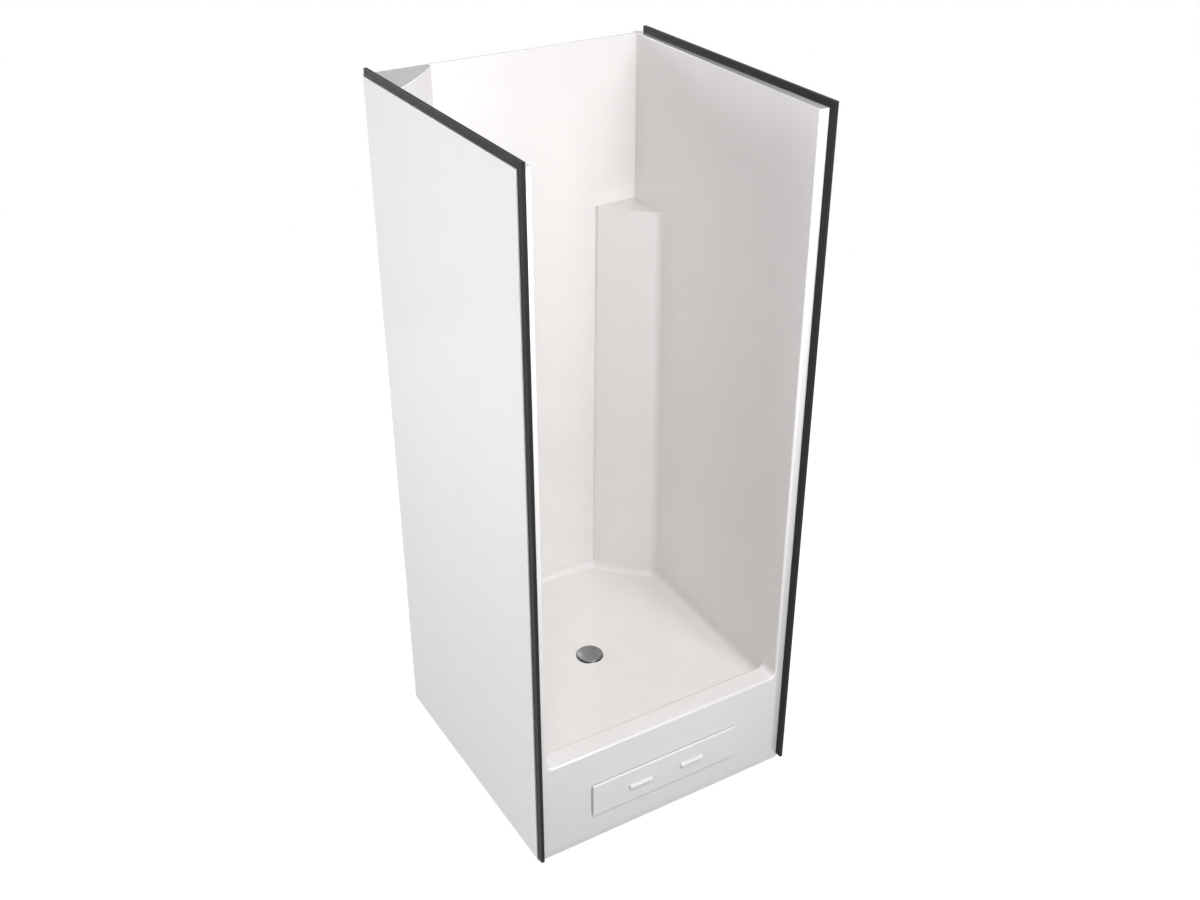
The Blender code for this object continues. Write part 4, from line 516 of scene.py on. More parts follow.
def lathe(name: str, profile: Sequence[Point], centre: Spot, steps: int = 96) -> bpy.types.Object:
    """Turn a closed profile of radius and height points about an upright axis.

    Args:
        name: the object's name.
        profile: closed profile of radius and height.
        centre: foot of the axis.
        steps: pieces round the axis.

    Returns:
        The turned object.
    """
    bm = bmesh.new()
    rings = []
    for radius, height in profile:
        if radius < MERGE:
            rings.append([bm.verts.new((0, 0, height))])
            continue
        turns = [math.tau * step / steps for step in range(steps)]
        rings.append([bm.verts.new((radius * math.cos(t), radius * math.sin(t), height)) for t in turns])
    for first, second in zip(rings, rings[1:] + rings[:1]):
        if len(first) == 1 and len(second) == 1:
            continue
        for index in range(steps):
            after = (index + 1) % steps
            corners = [first[index % len(first)], first[after % len(first)]]
            corners += [second[after % len(second)], second[index % len(second)]]
            bm.faces.new(list(dict.fromkeys(corners)))
    bmesh.ops.translate(bm, verts=bm.verts, vec=Vector(centre))
    return from_bmesh(name, bm)


def soften(obj: bpy.types.Object, chosen: EdgeTest, radius: float, steps: int) -> bpy.types.Object:
    """Round the edges of a mesh that a test on their two ends picks.

    Args:
        obj: the object, changed in place.
        chosen: test on an edge's two ends.
        radius: radius of the rounding.
        steps: pieces across the rounding.

    Returns:
        The same object.
    """
    bm = bmesh.new()
    bm.from_mesh(obj.data)
    edges = [edge for edge in bm.edges if chosen(edge.verts[0].co, edge.verts[1].co)]
    bmesh.ops.bevel(
        bm, geom=edges, offset=radius, segments=steps, profile=0.5, affect="EDGES", clamp_overlap=True
    )
    bm.to_mesh(obj.data)
    bm.free()
    return obj


def draw_forward(obj: bpy.types.Object, face_y: float, depth: float, new_depth: float) -> bpy.types.Object:
    """Pull the rounded edge behind a front face forward, so that it turns in less depth.

    Args:
        obj: the object, changed in place.
        face_y: depth of the front face.
        depth: depth that the edge takes now.
        new_depth: depth that it is given.

    Returns:
        The same object.
    """
    for vert in obj.data.vertices:
        if vert.co.y - face_y < depth + MERGE:
            vert.co.y = face_y + (vert.co.y - face_y) * new_depth / depth
    return obj


def shape_with(
    target: bpy.types.Object, tools: Sequence[bpy.types.Object], operation: str
) -> bpy.types.Object:
    """Cut the tools out of an object, or join them to it, and clear them away.

    Args:
        target: the object that is shaped.
        tools: the objects that shape it.
        operation: the boolean's own name for what is done.

    Returns:
        The shaped object.
    """
    for tool in tools:
        modifier = target.modifiers.new(tool.name, "BOOLEAN")
        modifier.operation = operation
        modifier.object = tool
        modifier.solver = "EXACT"
    mesh = evaluated(target)
    target.modifiers.clear()
    target.data = mesh
    for tool in tools:
        bpy.data.objects.remove(tool, do_unlink=True)
    return target


def cut(target: bpy.types.Object, *tools: bpy.types.Object) -> bpy.types.Object:
    """Cut the tools out of an object."""
    return shape_with(target, tools, "DIFFERENCE")


def join(target: bpy.types.Object, *tools: bpy.types.Object) -> bpy.types.Object:
    """Grow an object by the tools."""
    return shape_with(target, tools, "UNION")


def dress(
    obj: bpy.types.Object, finish: Finish, body: str, stands_for: Sequence[str] = (), smooth: float = SHARP
) -> bpy.types.Object:
    """Settle a piece's mesh and normals, give it its finish and hang it on its body.

    Args:
        obj: the shaped piece.
        finish: what its surface is.
        body: the moving group that it belongs to.
        stands_for: the plain solids that it takes the place of.
        smooth: edges that turn further than this stay sharp.

    Returns:
        The finished piece.
    """
    mesh = evaluated(obj)
    obj.modifiers.clear()
    obj.data = mesh
    obj.matrix_world = Matrix.Identity(4)
    mesh.shade_smooth()
    mesh.set_sharp_from_angle(angle=smooth)
    weighted = obj.modifiers.new("Weighted", "WEIGHTED_NORMAL")
    weighted.keep_sharp = True
    obj.data = evaluated(obj)
    obj.modifiers.clear()
    if not obj.data.materials:
        obj.data.materials.append(finish.material())
    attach(obj, body)
    if stands_for:
        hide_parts(*stands_for)
    log.info("%s: %d faces on %s", obj.name, len(obj.data.polygons), body)
    return obj


def along(axis: int, limit: float) -> EdgeTest:
    """Return a test for edges whose two ends lie beyond a limit along one axis."""
    return lambda first, second: min(first[axis], second[axis]) > limit


# ---------------------------------------------------------------- moulded shell


@dataclass(frozen=True)
class Shell:
    """Sizes that the base, the walls and the columns share, in metres."""

    half_width: float = 0.450
    front: float = -0.4385
    back: float = 0.4615
    inner_back: float = 0.4385
    top: float = 2.172
    rim: float = 0.430
    floor: float = 0.319
    underside: float = 0.305
    skin: float = 0.008
    outer_radius: float = 0.045
    apron_foot: float = 0.025
    edge: float = 0.0015
    front_radius: float = 0.007
    jamb: float = 0.042
    wall_at_back: float = 0.028
    jamb_skin: float = 0.010
    bar_x: float = 0.44115
    groove_half: float = 0.0022
    groove_depth: float = 0.0054
    bar_foot: float = 0.038
    bar_back_setback: float = 0.037
    play: float = 0.0003
    steps: int = 14

    def half_inside(self, y: float) -> float:
        """Return the distance from the middle to a side wall's inner face at one depth.

        Args:
            y: depth of the place.

        Returns:
            The inner face's distance from the middle.
        """
        share = (y - self.front) / (self.inner_back - self.front)
        return self.half_width - self.jamb + (self.jamb - self.wall_at_back) * share

    def bar_groove(self, side: int, low: float, high: float) -> bpy.types.Object:
        """Return a cutter for the groove up the front face that takes a bar's tongue.

        Args:
            side: minus one for left, one for right.
            low: height of the groove's foot.
            high: height of its end.

        Returns:
            The cutter.
        """
        middle = side * self.bar_x
        first = middle - self.groove_half, self.front - OVERRUN, low
        last = middle + self.groove_half, self.front + self.groove_depth, high
        return block("groove_%s_%d" % (SIDES[side], low * 1000), first, last)


@dataclass(frozen=True)
class ColumnForm(Shell):
    """Plan of a corner column: a rounded step off the back wall, then a bowed slanting face."""

    side: int = 1
    along_back: float = 0.142
    along_side: float = 0.1535
    column_top: float = 1.662
    draft: float = 0.009
    step: float = 0.013
    step_draft: float = 0.0068
    least_step: float = 0.0046
    soft: float = 0.012
    bow: float = 0.007
    blend: float = 0.036
    nose: float = 0.0001
    wall: float = 0.006
    cove: float = 0.024
    hollow_radius: float = 0.0075
    hollow_root: float = 0.0004
    shaft_setback: float = 0.010
    foot_reach: float = 0.0115
    foot_depth: float = 0.007

    def plan(self, height: float, sunk: float, nose: float | None = None) -> list[Point]:
        """Return the column's outline at one height.

        Args:
            height: height of the section.
            sunk: how far the outline reaches into the two walls.
            nose: how far from the side wall the face ends, with no cove; a full cove if left out.

        Returns:
            The closed outline.
        """
        more = self.draft * (self.column_top - height)
        deep = self.half_inside(self.inner_back)
        x_left = deep - self.along_back - more
        y_front = self.inner_back - self.along_side - more
        step = max(self.step - self.step_draft * (self.column_top - height), self.least_step)
        first = Vector((x_left, self.inner_back - step))
        way = Vector((self.half_inside(y_front), y_front)) - first
        outward = Vector((way.y, -way.x)).normalized()
        outward = -outward if outward.x > 0 else outward
        tangent = self.blend * math.tan(math.pi / 8)
        reach = 1 - (tangent / way.length if nose is None else nose / way.x)
        face = []
        for index in range(1, 2 * self.steps + 1):
            share = reach * index / (2 * self.steps)
            face.append(tuple(first + way * share + outward * (4 * self.bow * share * (1 - share))))
        if nose is None:
            face += self.side_cove(face, y_front, tangent)
        end_y = face[-1][1]
        rear = self.inner_back + sunk
        outline = [(deep + sunk, rear), (x_left, rear), tuple(first), *face]
        outline.append((self.half_inside(end_y) + sunk, end_y))
        radii = [0, 0, self.soft, *[0] * len(face), 0]
        return [(self.side * x, y) for x, y in rounded(outline, radii, self.steps // 2)]

    def side_cove(self, face: list[Point], y_front: float, tangent: float) -> list[Point]:
        """Return the hollow curve that carries the face into the side wall.

        Args:
            face: the face's points so far.
            y_front: depth at which the bare face would meet the wall.
            tangent: length of the curve on either side of the corner.

        Returns:
            The curve's points.
        """
        start = Vector(face[-1])
        way = (start - Vector(face[-2])).normalized()
        end = Vector((self.half_inside(y_front - tangent) - self.nose, y_front - tangent))
        corner = start + way * ((end.x - start.x) / way.x)
        curve = []
        for index in range(1, self.steps + 1):
            share = index / self.steps
            pull = 2 * share * (1 - share)
            curve.append(tuple(start * (1 - share) ** 2 + corner * pull + end * share**2))
        return curve

    def foot(self) -> bpy.types.Object:
        """Return the column's foot, which spreads into the floor by a cove."""
        reach = self.foot_reach
        edge = self.half_inside(self.inner_back) + reach, self.inner_back + reach

        def section(spread: float, height: float) -> list[Spot]:
            """Return the outline at one height, spread by the cove and held inside the walls."""
            ring = self.plan(height, reach)
            ring = grown(ring, spread) if spread > MERGE else ring
            return [(self.side * min(self.side * x, edge[0]), min(y, edge[1]), height) for x, y in ring]

        sections = [section(self.cove, self.floor - self.foot_depth)]
        for index in range(self.steps + 1):
            angle = math.pi / 2 * index / self.steps
            rise = self.cove * (1 - math.cos(angle))
            sections.append(section(self.cove * (1 - math.sin(angle)), self.floor - self.play + rise))
        sections.append(section(0, self.rim))
        return loft("column_foot_" + SIDES[self.side], sections)

    def step_hollow(self, stages: Sequence[Point]) -> bpy.types.Object:
        """Return the slim hollow curve that carries the back wall into the column's rounded step.

        Args:
            stages: heights, each with the share of the full radius that the curve has there.

        Returns:
            The closed strip, to be joined to the column.
        """
        sections = []
        for height, share in stages:
            more = self.draft * (self.column_top - height)
            x_left = self.half_inside(self.inner_back) - self.along_back - more
            radius = self.hollow_radius * share
            curve = arc((x_left - radius, self.inner_back - radius), radius, 90, 0, self.steps // 2)
            sunk, rooted = self.inner_back + self.hollow_root, x_left + MILLIMETRE
            ring = [(rooted, sunk), (curve[0][0], sunk), *curve, (rooted, curve[-1][1])]
            sections.append([(self.side * x, y, height) for x, y in ring])
        return loft("step_hollow_" + SIDES[self.side], sections)

    def inner(self) -> "ColumnForm":
        """Return the form of the room inside, which keeps clear of the shrinking step."""
        return replace(self, along_back=self.along_back - self.shaft_setback, step_draft=0.0)

    def shaft(self, skin: float, low: float, high: float) -> bpy.types.Object:
        """Return a cutter for the room inside the column, one skin in from its face.

        Args:
            skin: the wall that stays.
            low: height of the room's foot.
            high: height of its top.

        Returns:
            The cutter.
        """
        plans = [(grown(self.inner().plan(z, -self.play, 2 * skin), -skin), z) for z in (low, high)]
        rings = [[(x, y, z) for x, y in ring] for ring, z in plans]
        return loft("column_shaft_" + SIDES[self.side], rings)


RIGHT_COLUMN = ColumnForm()
LEFT_COLUMN = ColumnForm(side=-1, along_back=0.172, along_side=0.176, column_top=2.172)


@dataclass(frozen=True)
class BaseMoulding(Shell):
    """The raised base: apron, rolled threshold, coved floor and hollow underside."""

    threshold: float = 0.365
    threshold_width: float = 0.074
    inner_radius: float = 0.014
    corner_radius: float = 0.022
    cove: float = 0.028
    flange: float = 0.052
    drain_y: float = 0.0115
    dish: float = 0.006
    dish_radius: float = 0.320
    recess_radius: float = 0.0443
    recess_depth: float = 0.0028
    bore_radius: float = 0.0304
    hole_width: float = 0.482
    hole_height: float = 0.082
    hole_middle: float = 0.177
    hole_radius: float = 0.012
    bore_reach: float = 0.03
    seal_outside: float = 0.0097
    seal_inside: float = 0.0183
    seal_depth: float = 0.0033
    hollow_start: float = 0.020
    hollow_share_at_start: float = 0.08
    hollow_share_at_rim: float = 0.14
    ring_steps: int = 96

    def build(self) -> None:
        """Shape the base and dress it, laminate inside."""
        base = self.block()
        cut(base, self.room())
        join(base, LEFT_COLUMN.foot(), RIGHT_COLUMN.foot())
        stages = [(self.floor + self.hollow_start, self.hollow_share_at_start)]
        stages.append((self.rim, self.hollow_share_at_rim))
        join(base, *[form.step_hollow(stages) for form in COLUMNS])
        shafts = [form.shaft(self.skin, self.underside - OVERRUN, self.rim + OVERRUN) for form in COLUMNS]
        cut(base, self.hollow(), self.underside_opening(), self.threshold_hollow(), self.dish_cutter())
        cut(base, *shafts, self.access_hole(), self.recess(), self.bore(), self.seal_groove())
        cut(base, *[self.bar_groove(side, self.bar_foot, self.rim + OVERRUN) for side in SIDES])
        base.data.materials.append(GELCOAT.material())
        base.data.materials.append(LAMINATE.material())
        self.line_with_laminate(base.data)
        dress(base, GELCOAT, "cabin", ["base"])

    def block(self) -> bpy.types.Object:
        """Return the outer form, rounded along the bottom and up the back corners."""
        low = (-self.half_width, self.front, 0)
        base = block("base_moulding", low, (self.half_width, self.back, self.rim))

        def outer(first: Vector, second: Vector) -> bool:
            """Tell whether an edge is at the bottom or up a back corner."""
            bottom = max(first.z, second.z) < MERGE
            upright = abs(first.x - second.x) < MERGE and abs(first.y - second.y) < MERGE
            return bottom or (upright and first.y > self.back - MERGE)

        soften(base, outer, self.outer_radius, self.steps)
        draw_forward(base, self.front, self.outer_radius, self.apron_foot)

        def jamb_corner(first: Vector, second: Vector) -> bool:
            """Tell whether an edge is an upright front corner."""
            at_corner = max(first.y, second.y) < self.front + MERGE
            upright = abs(first.x - second.x) < MERGE
            return at_corner and upright and min(abs(first.x), abs(second.x)) > self.half_width - MERGE

        return soften(base, jamb_corner, self.edge, 3)

    def stations(self) -> list[tuple[float, float, float, float]]:
        """Follow the inside from the front to the back.

        Returns:
            Depth, widening, floor height and corner radius of each station.
        """
        quarter = [math.pi / 2 * index / self.steps for index in range(self.steps + 1)]
        flare = self.front_radius
        rows = [(self.front - OVERRUN, flare, self.threshold - flare, self.corner_radius + flare)]
        for angle in quarter:
            flare = self.front_radius * (1 - math.sin(angle))
            y = self.front + self.front_radius * (1 - math.cos(angle))
            rows.append((y, flare, self.threshold - flare, self.corner_radius + flare))
        for angle in quarter:
            y = self.front + self.threshold_width - self.inner_radius * (1 - math.sin(angle))
            drop = self.inner_radius * (1 - math.cos(angle))
            rows.append((y, 0, self.threshold - drop, self.corner_radius))
        foot = self.front + self.threshold_width + MILLIMETRE
        for angle in quarter:
            rise = self.cove * (1 - math.sin(angle))
            radius = self.cove + (self.corner_radius - self.cove) * rise / self.cove
            rows.append((foot + self.cove * (1 - math.cos(angle)), 0, self.floor + rise, radius))
        for angle in quarter:
            rise = self.cove * (1 - math.cos(angle))
            y = self.inner_back - self.cove * (1 - math.sin(angle))
            rows.append((y, 0, self.floor + rise, self.cove))
        return rows

    def room(self) -> bpy.types.Object:
        """Return a cutter for the room over the threshold, down to the floor and up the back."""
        sections = []
        for y, flare, bottom, radius in self.stations():
            half = self.half_inside(max(y, self.front)) + flare
            left = arc((-half + radius, bottom + radius), radius, 180, 270, self.steps)
            right = arc((half - radius, bottom + radius), radius, 270, 360, self.steps)
            outline = [(-half, self.rim + OVERRUN), *left, *right, (half, self.rim + OVERRUN)]
            sections.append([(x, y, z) for x, z in outline])
        return loft("inside", sections)

    def hollow(self) -> bpy.types.Object:
        """Return a cutter for the room under the floor."""
        low = (-self.half_width + self.skin, self.front + self.skin, self.skin)
        high = (self.half_width - self.skin, self.back - self.skin, self.underside)
        room = block("under_floor", low, high)

        def outer(first: Vector, second: Vector) -> bool:
            """Tell whether an edge is at the bottom or up a back corner."""
            bottom = max(first.z, second.z) < self.skin + MERGE
            upright = abs(first.x - second.x) < MERGE and abs(first.y - second.y) < MERGE
            return bottom or (upright and first.y > self.back - self.skin - MERGE)

        soften(room, outer, self.outer_radius - self.skin, self.steps)
        depth = self.apron_foot - self.skin
        return draw_forward(room, self.front + self.skin, self.outer_radius - self.skin, depth)

    def underside_opening(self) -> bpy.types.Object:
        """Return a cutter for the opening inside the turned-in foot flange."""
        inset = self.skin + self.flange
        low = (-self.half_width + inset, self.front + inset, -OVERRUN)
        return block("underside", low, (self.half_width - inset, self.back - inset, self.skin + OVERRUN))

    def threshold_hollow(self) -> bpy.types.Object:
        """Return a cutter for the room inside the threshold."""
        half = self.half_width - self.jamb
        low = (-half, self.front + self.skin, self.underside - OVERRUN)
        high = (half, self.front + self.threshold_width - self.skin, self.threshold - self.skin)
        return block("threshold_room", low, high)

    def dish_cutter(self) -> bpy.types.Object:
        """Return a cutter for the shallow fall of the floor towards the waste."""
        inner = self.recess_radius - self.play
        profile = [(self.dish_radius, OVERRUN), (self.dish_radius, 0), (inner, -self.dish)]
        profile += [(0, -self.dish), (0, OVERRUN)]
        return lathe("dish", profile, (0, self.drain_y, self.floor), self.ring_steps)

    def recess(self) -> bpy.types.Object:
        """Return a cutter for the seat of the waste's flange."""
        low = self.floor - self.dish - self.recess_depth
        profile = [(self.recess_radius, OVERRUN), (self.recess_radius, 0), (0, 0), (0, OVERRUN)]
        return lathe("recess", profile, (0, self.drain_y, low), self.ring_steps)

    def bore(self) -> bpy.types.Object:
        """Return a cutter for the bore of the waste's neck."""
        reach = self.bore_reach
        profile = [(self.bore_radius, reach), (self.bore_radius, -reach), (0, -reach), (0, reach)]
        return lathe("bore", profile, (0, self.drain_y, self.underside), self.ring_steps)

    def access_hole(self) -> bpy.types.Object:
        """Return a cutter for the hole behind the apron panel."""
        corners = rectangle(self.hole_width, self.hole_height, (0, self.hole_middle))
        outline = rounded(corners, [self.hole_radius] * 4, self.steps // 2)
        start = -(self.front + self.skin + OVERRUN)
        return plate("access_hole", [outline], start, -(self.front - OVERRUN), FACING_FRONT)

    def seal_groove(self) -> bpy.types.Object:
        """Return a cutter for the groove in the rim that holds the seal under the walls."""
        centre = (self.half_width - self.outer_radius, self.back - self.outer_radius)
        start = self.front + self.jamb_skin

        def line(inset: float) -> list[Point]:
            """Return the right half of a line round the cabin, one inset in from the outside."""
            bend = arc(centre, self.outer_radius - inset, 0, 90, self.steps)
            return [(self.half_width - inset, start), *bend]

        outer, inner = line(self.seal_outside), line(self.seal_inside)
        outline = outer + [(-x, y) for x, y in reversed(outer)]
        outline += [(-x, y) for x, y in inner] + list(reversed(inner))
        return plate("seal_groove", [outline], self.rim - self.seal_depth, self.rim + OVERRUN)

    def line_with_laminate(self, mesh: bpy.types.Mesh) -> None:
        """Give the faces of the hollow underside the bare laminate."""
        for face in mesh.polygons:
            face.material_index = 1 if self.is_lining(face.center, face.normal) else 0

    def is_lining(self, spot: Vector, normal: Vector) -> bool:
        """Tell whether a face belongs to the hollow underside.

        Args:
            spot: the face's middle.
            normal: the way that the face looks.

        Returns:
            True for the rooms under the floor and the threshold.
        """
        corner = self.outer_radius
        away = spot.x * normal.x > 0 and abs(spot.x) > self.half_width - corner
        away = away or (normal.y > 0.1 and spot.y > self.back - corner)
        away = away or (normal.y < -0.1 and spot.y < self.front + corner and spot.z < corner)
        probe = spot + normal * (2 * MILLIMETRE)
        inside = abs(probe.x) < self.half_width - self.skin and probe.z < self.threshold - self.skin
        inside = inside and self.front + self.skin < probe.y < self.back - self.skin
        under = self.skin / 2 < probe.z < self.underside + MILLIMETRE
        threshold = probe.y < self.front + self.threshold_width - self.skin and probe.z > self.underside
        return inside and not away and (under or threshold) and spot.z > MERGE


COLUMNS = (LEFT_COLUMN, RIGHT_COLUMN)


@dataclass(frozen=True)
class Walls(Shell):
    """Three cored walls: inner liners with a soft top edge and thin outer panels."""

    panel: float = 0.004
    seat: float = 0.0043
    liner: float = 0.007
    flange: float = 0.012
    lip: float = 0.006
    lip_height: float = 0.022
    panel_return: float = 0.012
    top_edge: float = 0.003
    jamb_arris: float = 0.020
    sheet_edge: float = 0.0008

    def build(self) -> None:
        """Shape and dress the liners and the outer panels."""
        for side, word in SIDES.items():
            dress(self.side_liner(side), GELCOAT, "cabin", ["wall_" + word])
            dress(self.side_skin(side), GELCOAT, "cabin", ["side_panel_" + word])
        dress(self.back_liner(), GELCOAT, "cabin", ["wall_back"])
        dress(self.back_skin(), BACK_SHEET, "cabin", ["back_panel"])

    def corner(self, inset: float) -> list[Point]:
        """Return the arc round the right back corner, one inset in from the outside."""
        centre = (self.half_width - self.outer_radius, self.back - self.outer_radius)
        return arc(centre, self.outer_radius - inset, 0, 90, self.steps)

    def seat_arc(self, limit: float, beyond: bool) -> list[Point]:
        """Return the panel's seat round the back corner on one side of a distance from the middle.

        Args:
            limit: the distance from the middle.
            beyond: True for the part outside it, False for the part inside.

        Returns:
            The seat's points, ending exactly at the limit.
        """
        points = self.corner(self.seat)
        outside = [point for point in points if point[0] > limit]
        inside = [point for point in points if point[0] <= limit]
        first, last = outside[-1], inside[0]
        share = (first[0] - limit) / (first[0] - last[0])
        crossing = (limit, first[1] + (last[1] - first[1]) * share)
        return outside + [crossing] if beyond else [crossing] + inside

    def side_liner(self, side: int) -> bpy.types.Object:
        """Return a side wall's liner with jamb, core pocket and bar grooves.

        Args:
            side: minus one for left, one for right.

        Returns:
            The liner.
        """
        word = SIDES[side]
        deep = self.half_inside(self.inner_back)
        heel = self.front + self.jamb_skin
        reach = self.jamb_arris
        corner = [(self.half_width, self.front + reach), (self.half_width, self.front)]
        corner.append((self.half_width - reach, self.front))
        outline = rounded(corner, [0, self.edge, 0], 3)[1:-1][::-1]
        outline += [(self.half_width, heel), (self.half_width - self.seat, heel)]
        outline += self.seat_arc(deep, True) + [(deep, self.inner_back)]
        for index in range(self.steps, -1, -1):
            angle = math.pi / 2 * index / self.steps
            y = self.front + self.front_radius * (1 - math.cos(angle))
            outline.append((self.half_inside(y) + self.front_radius * (1 - math.sin(angle)), y))
        wall = plate("side_liner_" + word, [[(side * x, y) for x, y in outline]], self.rim, self.top)

        def top_inner(first: Vector, second: Vector) -> bool:
            """Tell whether an edge is the top's inner one."""
            if min(first.z, second.z) < self.top - MERGE or max(first.y, second.y) > self.inner_back + MERGE:
                return False
            gaps = [abs(p.x) - self.half_inside(p.y) for p in (first, second)]
            return max(gaps) < self.front_radius + MERGE and max(first.y, second.y) > self.front + MERGE

        soften(wall, top_inner, self.top_edge, 4)
        head = self.front + self.jamb_skin + self.flange
        tail = self.back - self.outer_radius
        outer = self.half_width + OVERRUN
        pocket = [(outer, head), (outer, tail)]
        pocket += [(self.half_inside(tail) + self.liner, tail), (self.half_inside(head) + self.liner, head)]
        ring = [(side * x, y) for x, y in pocket]
        room = plate("pocket_" + word, [ring], self.rim + self.flange, self.top - self.flange)
        middle = side * self.bar_x
        low = (middle - self.groove_half, self.front - OVERRUN, self.top - self.groove_depth)
        high = (middle + self.groove_half, self.back - self.bar_back_setback, self.top + OVERRUN)
        top_groove = block("top_groove_" + word, low, high)
        return cut(wall, room, top_groove, self.bar_groove(side, self.rim - OVERRUN, self.top + OVERRUN))

    def side_skin(self, side: int) -> bpy.types.Object:
        """Return a side's outer panel, bent round the back corner with a short return.

        Args:
            side: minus one for left, one for right.

        Returns:
            The panel.
        """
        word = SIDES[side]
        start = self.front + self.jamb_skin
        end = self.half_width - self.outer_radius - self.panel_return
        outer = [(self.half_width, start), *self.corner(0), (end, self.back)]
        inner = [(self.half_width - self.panel, start), *self.corner(self.panel)]
        inner.append((end, self.back - self.panel))
        outline = [(side * x, y) for x, y in outer + inner[::-1]]
        skin = plate("side_skin_" + word, [outline], self.rim, self.top)
        edge = side * self.half_inside(self.inner_back)
        low = (min(0, edge), self.inner_back, self.top - self.lip_height)
        return cut(skin, block("drop_" + word, low, (max(0, edge), self.back + OVERRUN, self.top + OVERRUN)))

    def back_liner(self) -> bpy.types.Object:
        """Return the back wall's liner, with the thin upright lip along its top."""
        half = self.half_inside(self.inner_back)
        right = [(half, self.inner_back), *self.seat_arc(half, False)]
        wall = plate("back_liner", [right + [(-x, y) for x, y in reversed(right)]], self.rim, self.top)
        low = (-self.half_width, self.inner_back + self.lip, self.top - self.lip_height)
        shoulder = block("shoulder", low, (self.half_width, self.back + OVERRUN, self.top + OVERRUN))
        reach = self.half_width - self.outer_radius
        low = (-reach, self.inner_back + self.liner, self.rim + self.flange)
        high = (reach, self.back + OVERRUN, self.top - self.lip_height - self.flange)
        cut(wall, shoulder, block("back_pocket", low, high))
        return soften(wall, along(2, self.top - MERGE), self.lip / 4, 3)

    def back_skin(self) -> bpy.types.Object:
        """Return the back's outer panel between the returns of the side panels."""
        half = self.half_width - self.outer_radius - self.panel_return - self.play
        low = (-half, self.back - self.panel, self.rim)
        skin = block("back_skin", low, (half, self.back, self.top - self.lip_height))

        def outside(first: Vector, second: Vector) -> bool:
            """Tell whether an edge of the outer face is above the base's joint."""
            return min(first.y, second.y) > self.back - MERGE and max(first.z, second.z) > 1

        return soften(skin, outside, self.sheet_edge, 3)


@dataclass(frozen=True)
class Columns(Shell):
    """The two corner columns and the grey cap of the taller one."""

    shelf_edge: float = 0.012
    shelf: float = 0.006
    cap: float = 0.003
    cap_edge: float = 0.0006
    plug_depth: float = 0.008
    plug_inset: float = 0.0064
    sunk: float = 0.0005
    hollow_shares: tuple[Point, ...] = ((0.014, 1.0), (0.006, 0.6), (0.001, 0.08))
    hollow_share_at_rim: float = 0.14

    def build(self) -> None:
        """Shape and dress both columns and the cap."""
        right = self.column(RIGHT_COLUMN, RIGHT_COLUMN.column_top)
        soften(right, self.shelf_rim, self.shelf_edge, 8)
        join(right, self.hollow(RIGHT_COLUMN, RIGHT_COLUMN.column_top))
        roof = RIGHT_COLUMN.column_top - self.shelf
        cut(right, RIGHT_COLUMN.shaft(RIGHT_COLUMN.wall, self.rim - OVERRUN, roof))
        dress(right, GELCOAT, "cabin", ["tower_right"])
        left = self.column(LEFT_COLUMN, self.top - self.cap)
        join(left, self.hollow(LEFT_COLUMN, self.top - self.cap))
        cut(left, LEFT_COLUMN.shaft(LEFT_COLUMN.wall, self.rim - OVERRUN, self.top + OVERRUN))
        dress(left, GELCOAT, "cabin", ["tower_left"])
        outline = LEFT_COLUMN.plan(self.top, self.sunk)
        cap = plate("column_cap", [outline], self.top - self.cap, self.top)
        room = LEFT_COLUMN.inner().plan(self.top, -self.play, 2 * LEFT_COLUMN.wall)
        plug_foot = self.top - self.cap - self.plug_depth
        join(cap, plate("cap_plug", [grown(room, -self.plug_inset)], plug_foot, self.top - self.cap / 2))
        soften(cap, along(2, self.top - MERGE), self.cap_edge, 2)
        dress(cap, CAP_ABS, "cabin", ["tower_left_cap"])

    def column(self, form: ColumnForm, top: float) -> bpy.types.Object:
        """Return a solid column from the rim of the base to its top."""
        heights = (self.rim, top)
        sections = [[(x, y, z) for x, y in form.plan(z, self.sunk)] for z in heights]
        return loft("column_" + SIDES[form.side], sections)

    def hollow(self, form: ColumnForm, top: float) -> bpy.types.Object:
        """Return the hollow curve beside a column's step, fading out under its top."""
        stages = [(top - below, share) for below, share in self.hollow_shares]
        return form.step_hollow([(self.rim, self.hollow_share_at_rim), *stages])

    def shelf_rim(self, first: Vector, second: Vector) -> bool:
        """Tell whether an edge belongs to the shelf's free front edge."""
        top = RIGHT_COLUMN.column_top
        if min(first.z, second.z) < top - MERGE or min(first.y, second.y) > self.inner_back:
            return False
        return max(self.half_inside(p.y) - p.x for p in (first, second)) > self.sunk


# ---------------------------------------------------------------- edge bars


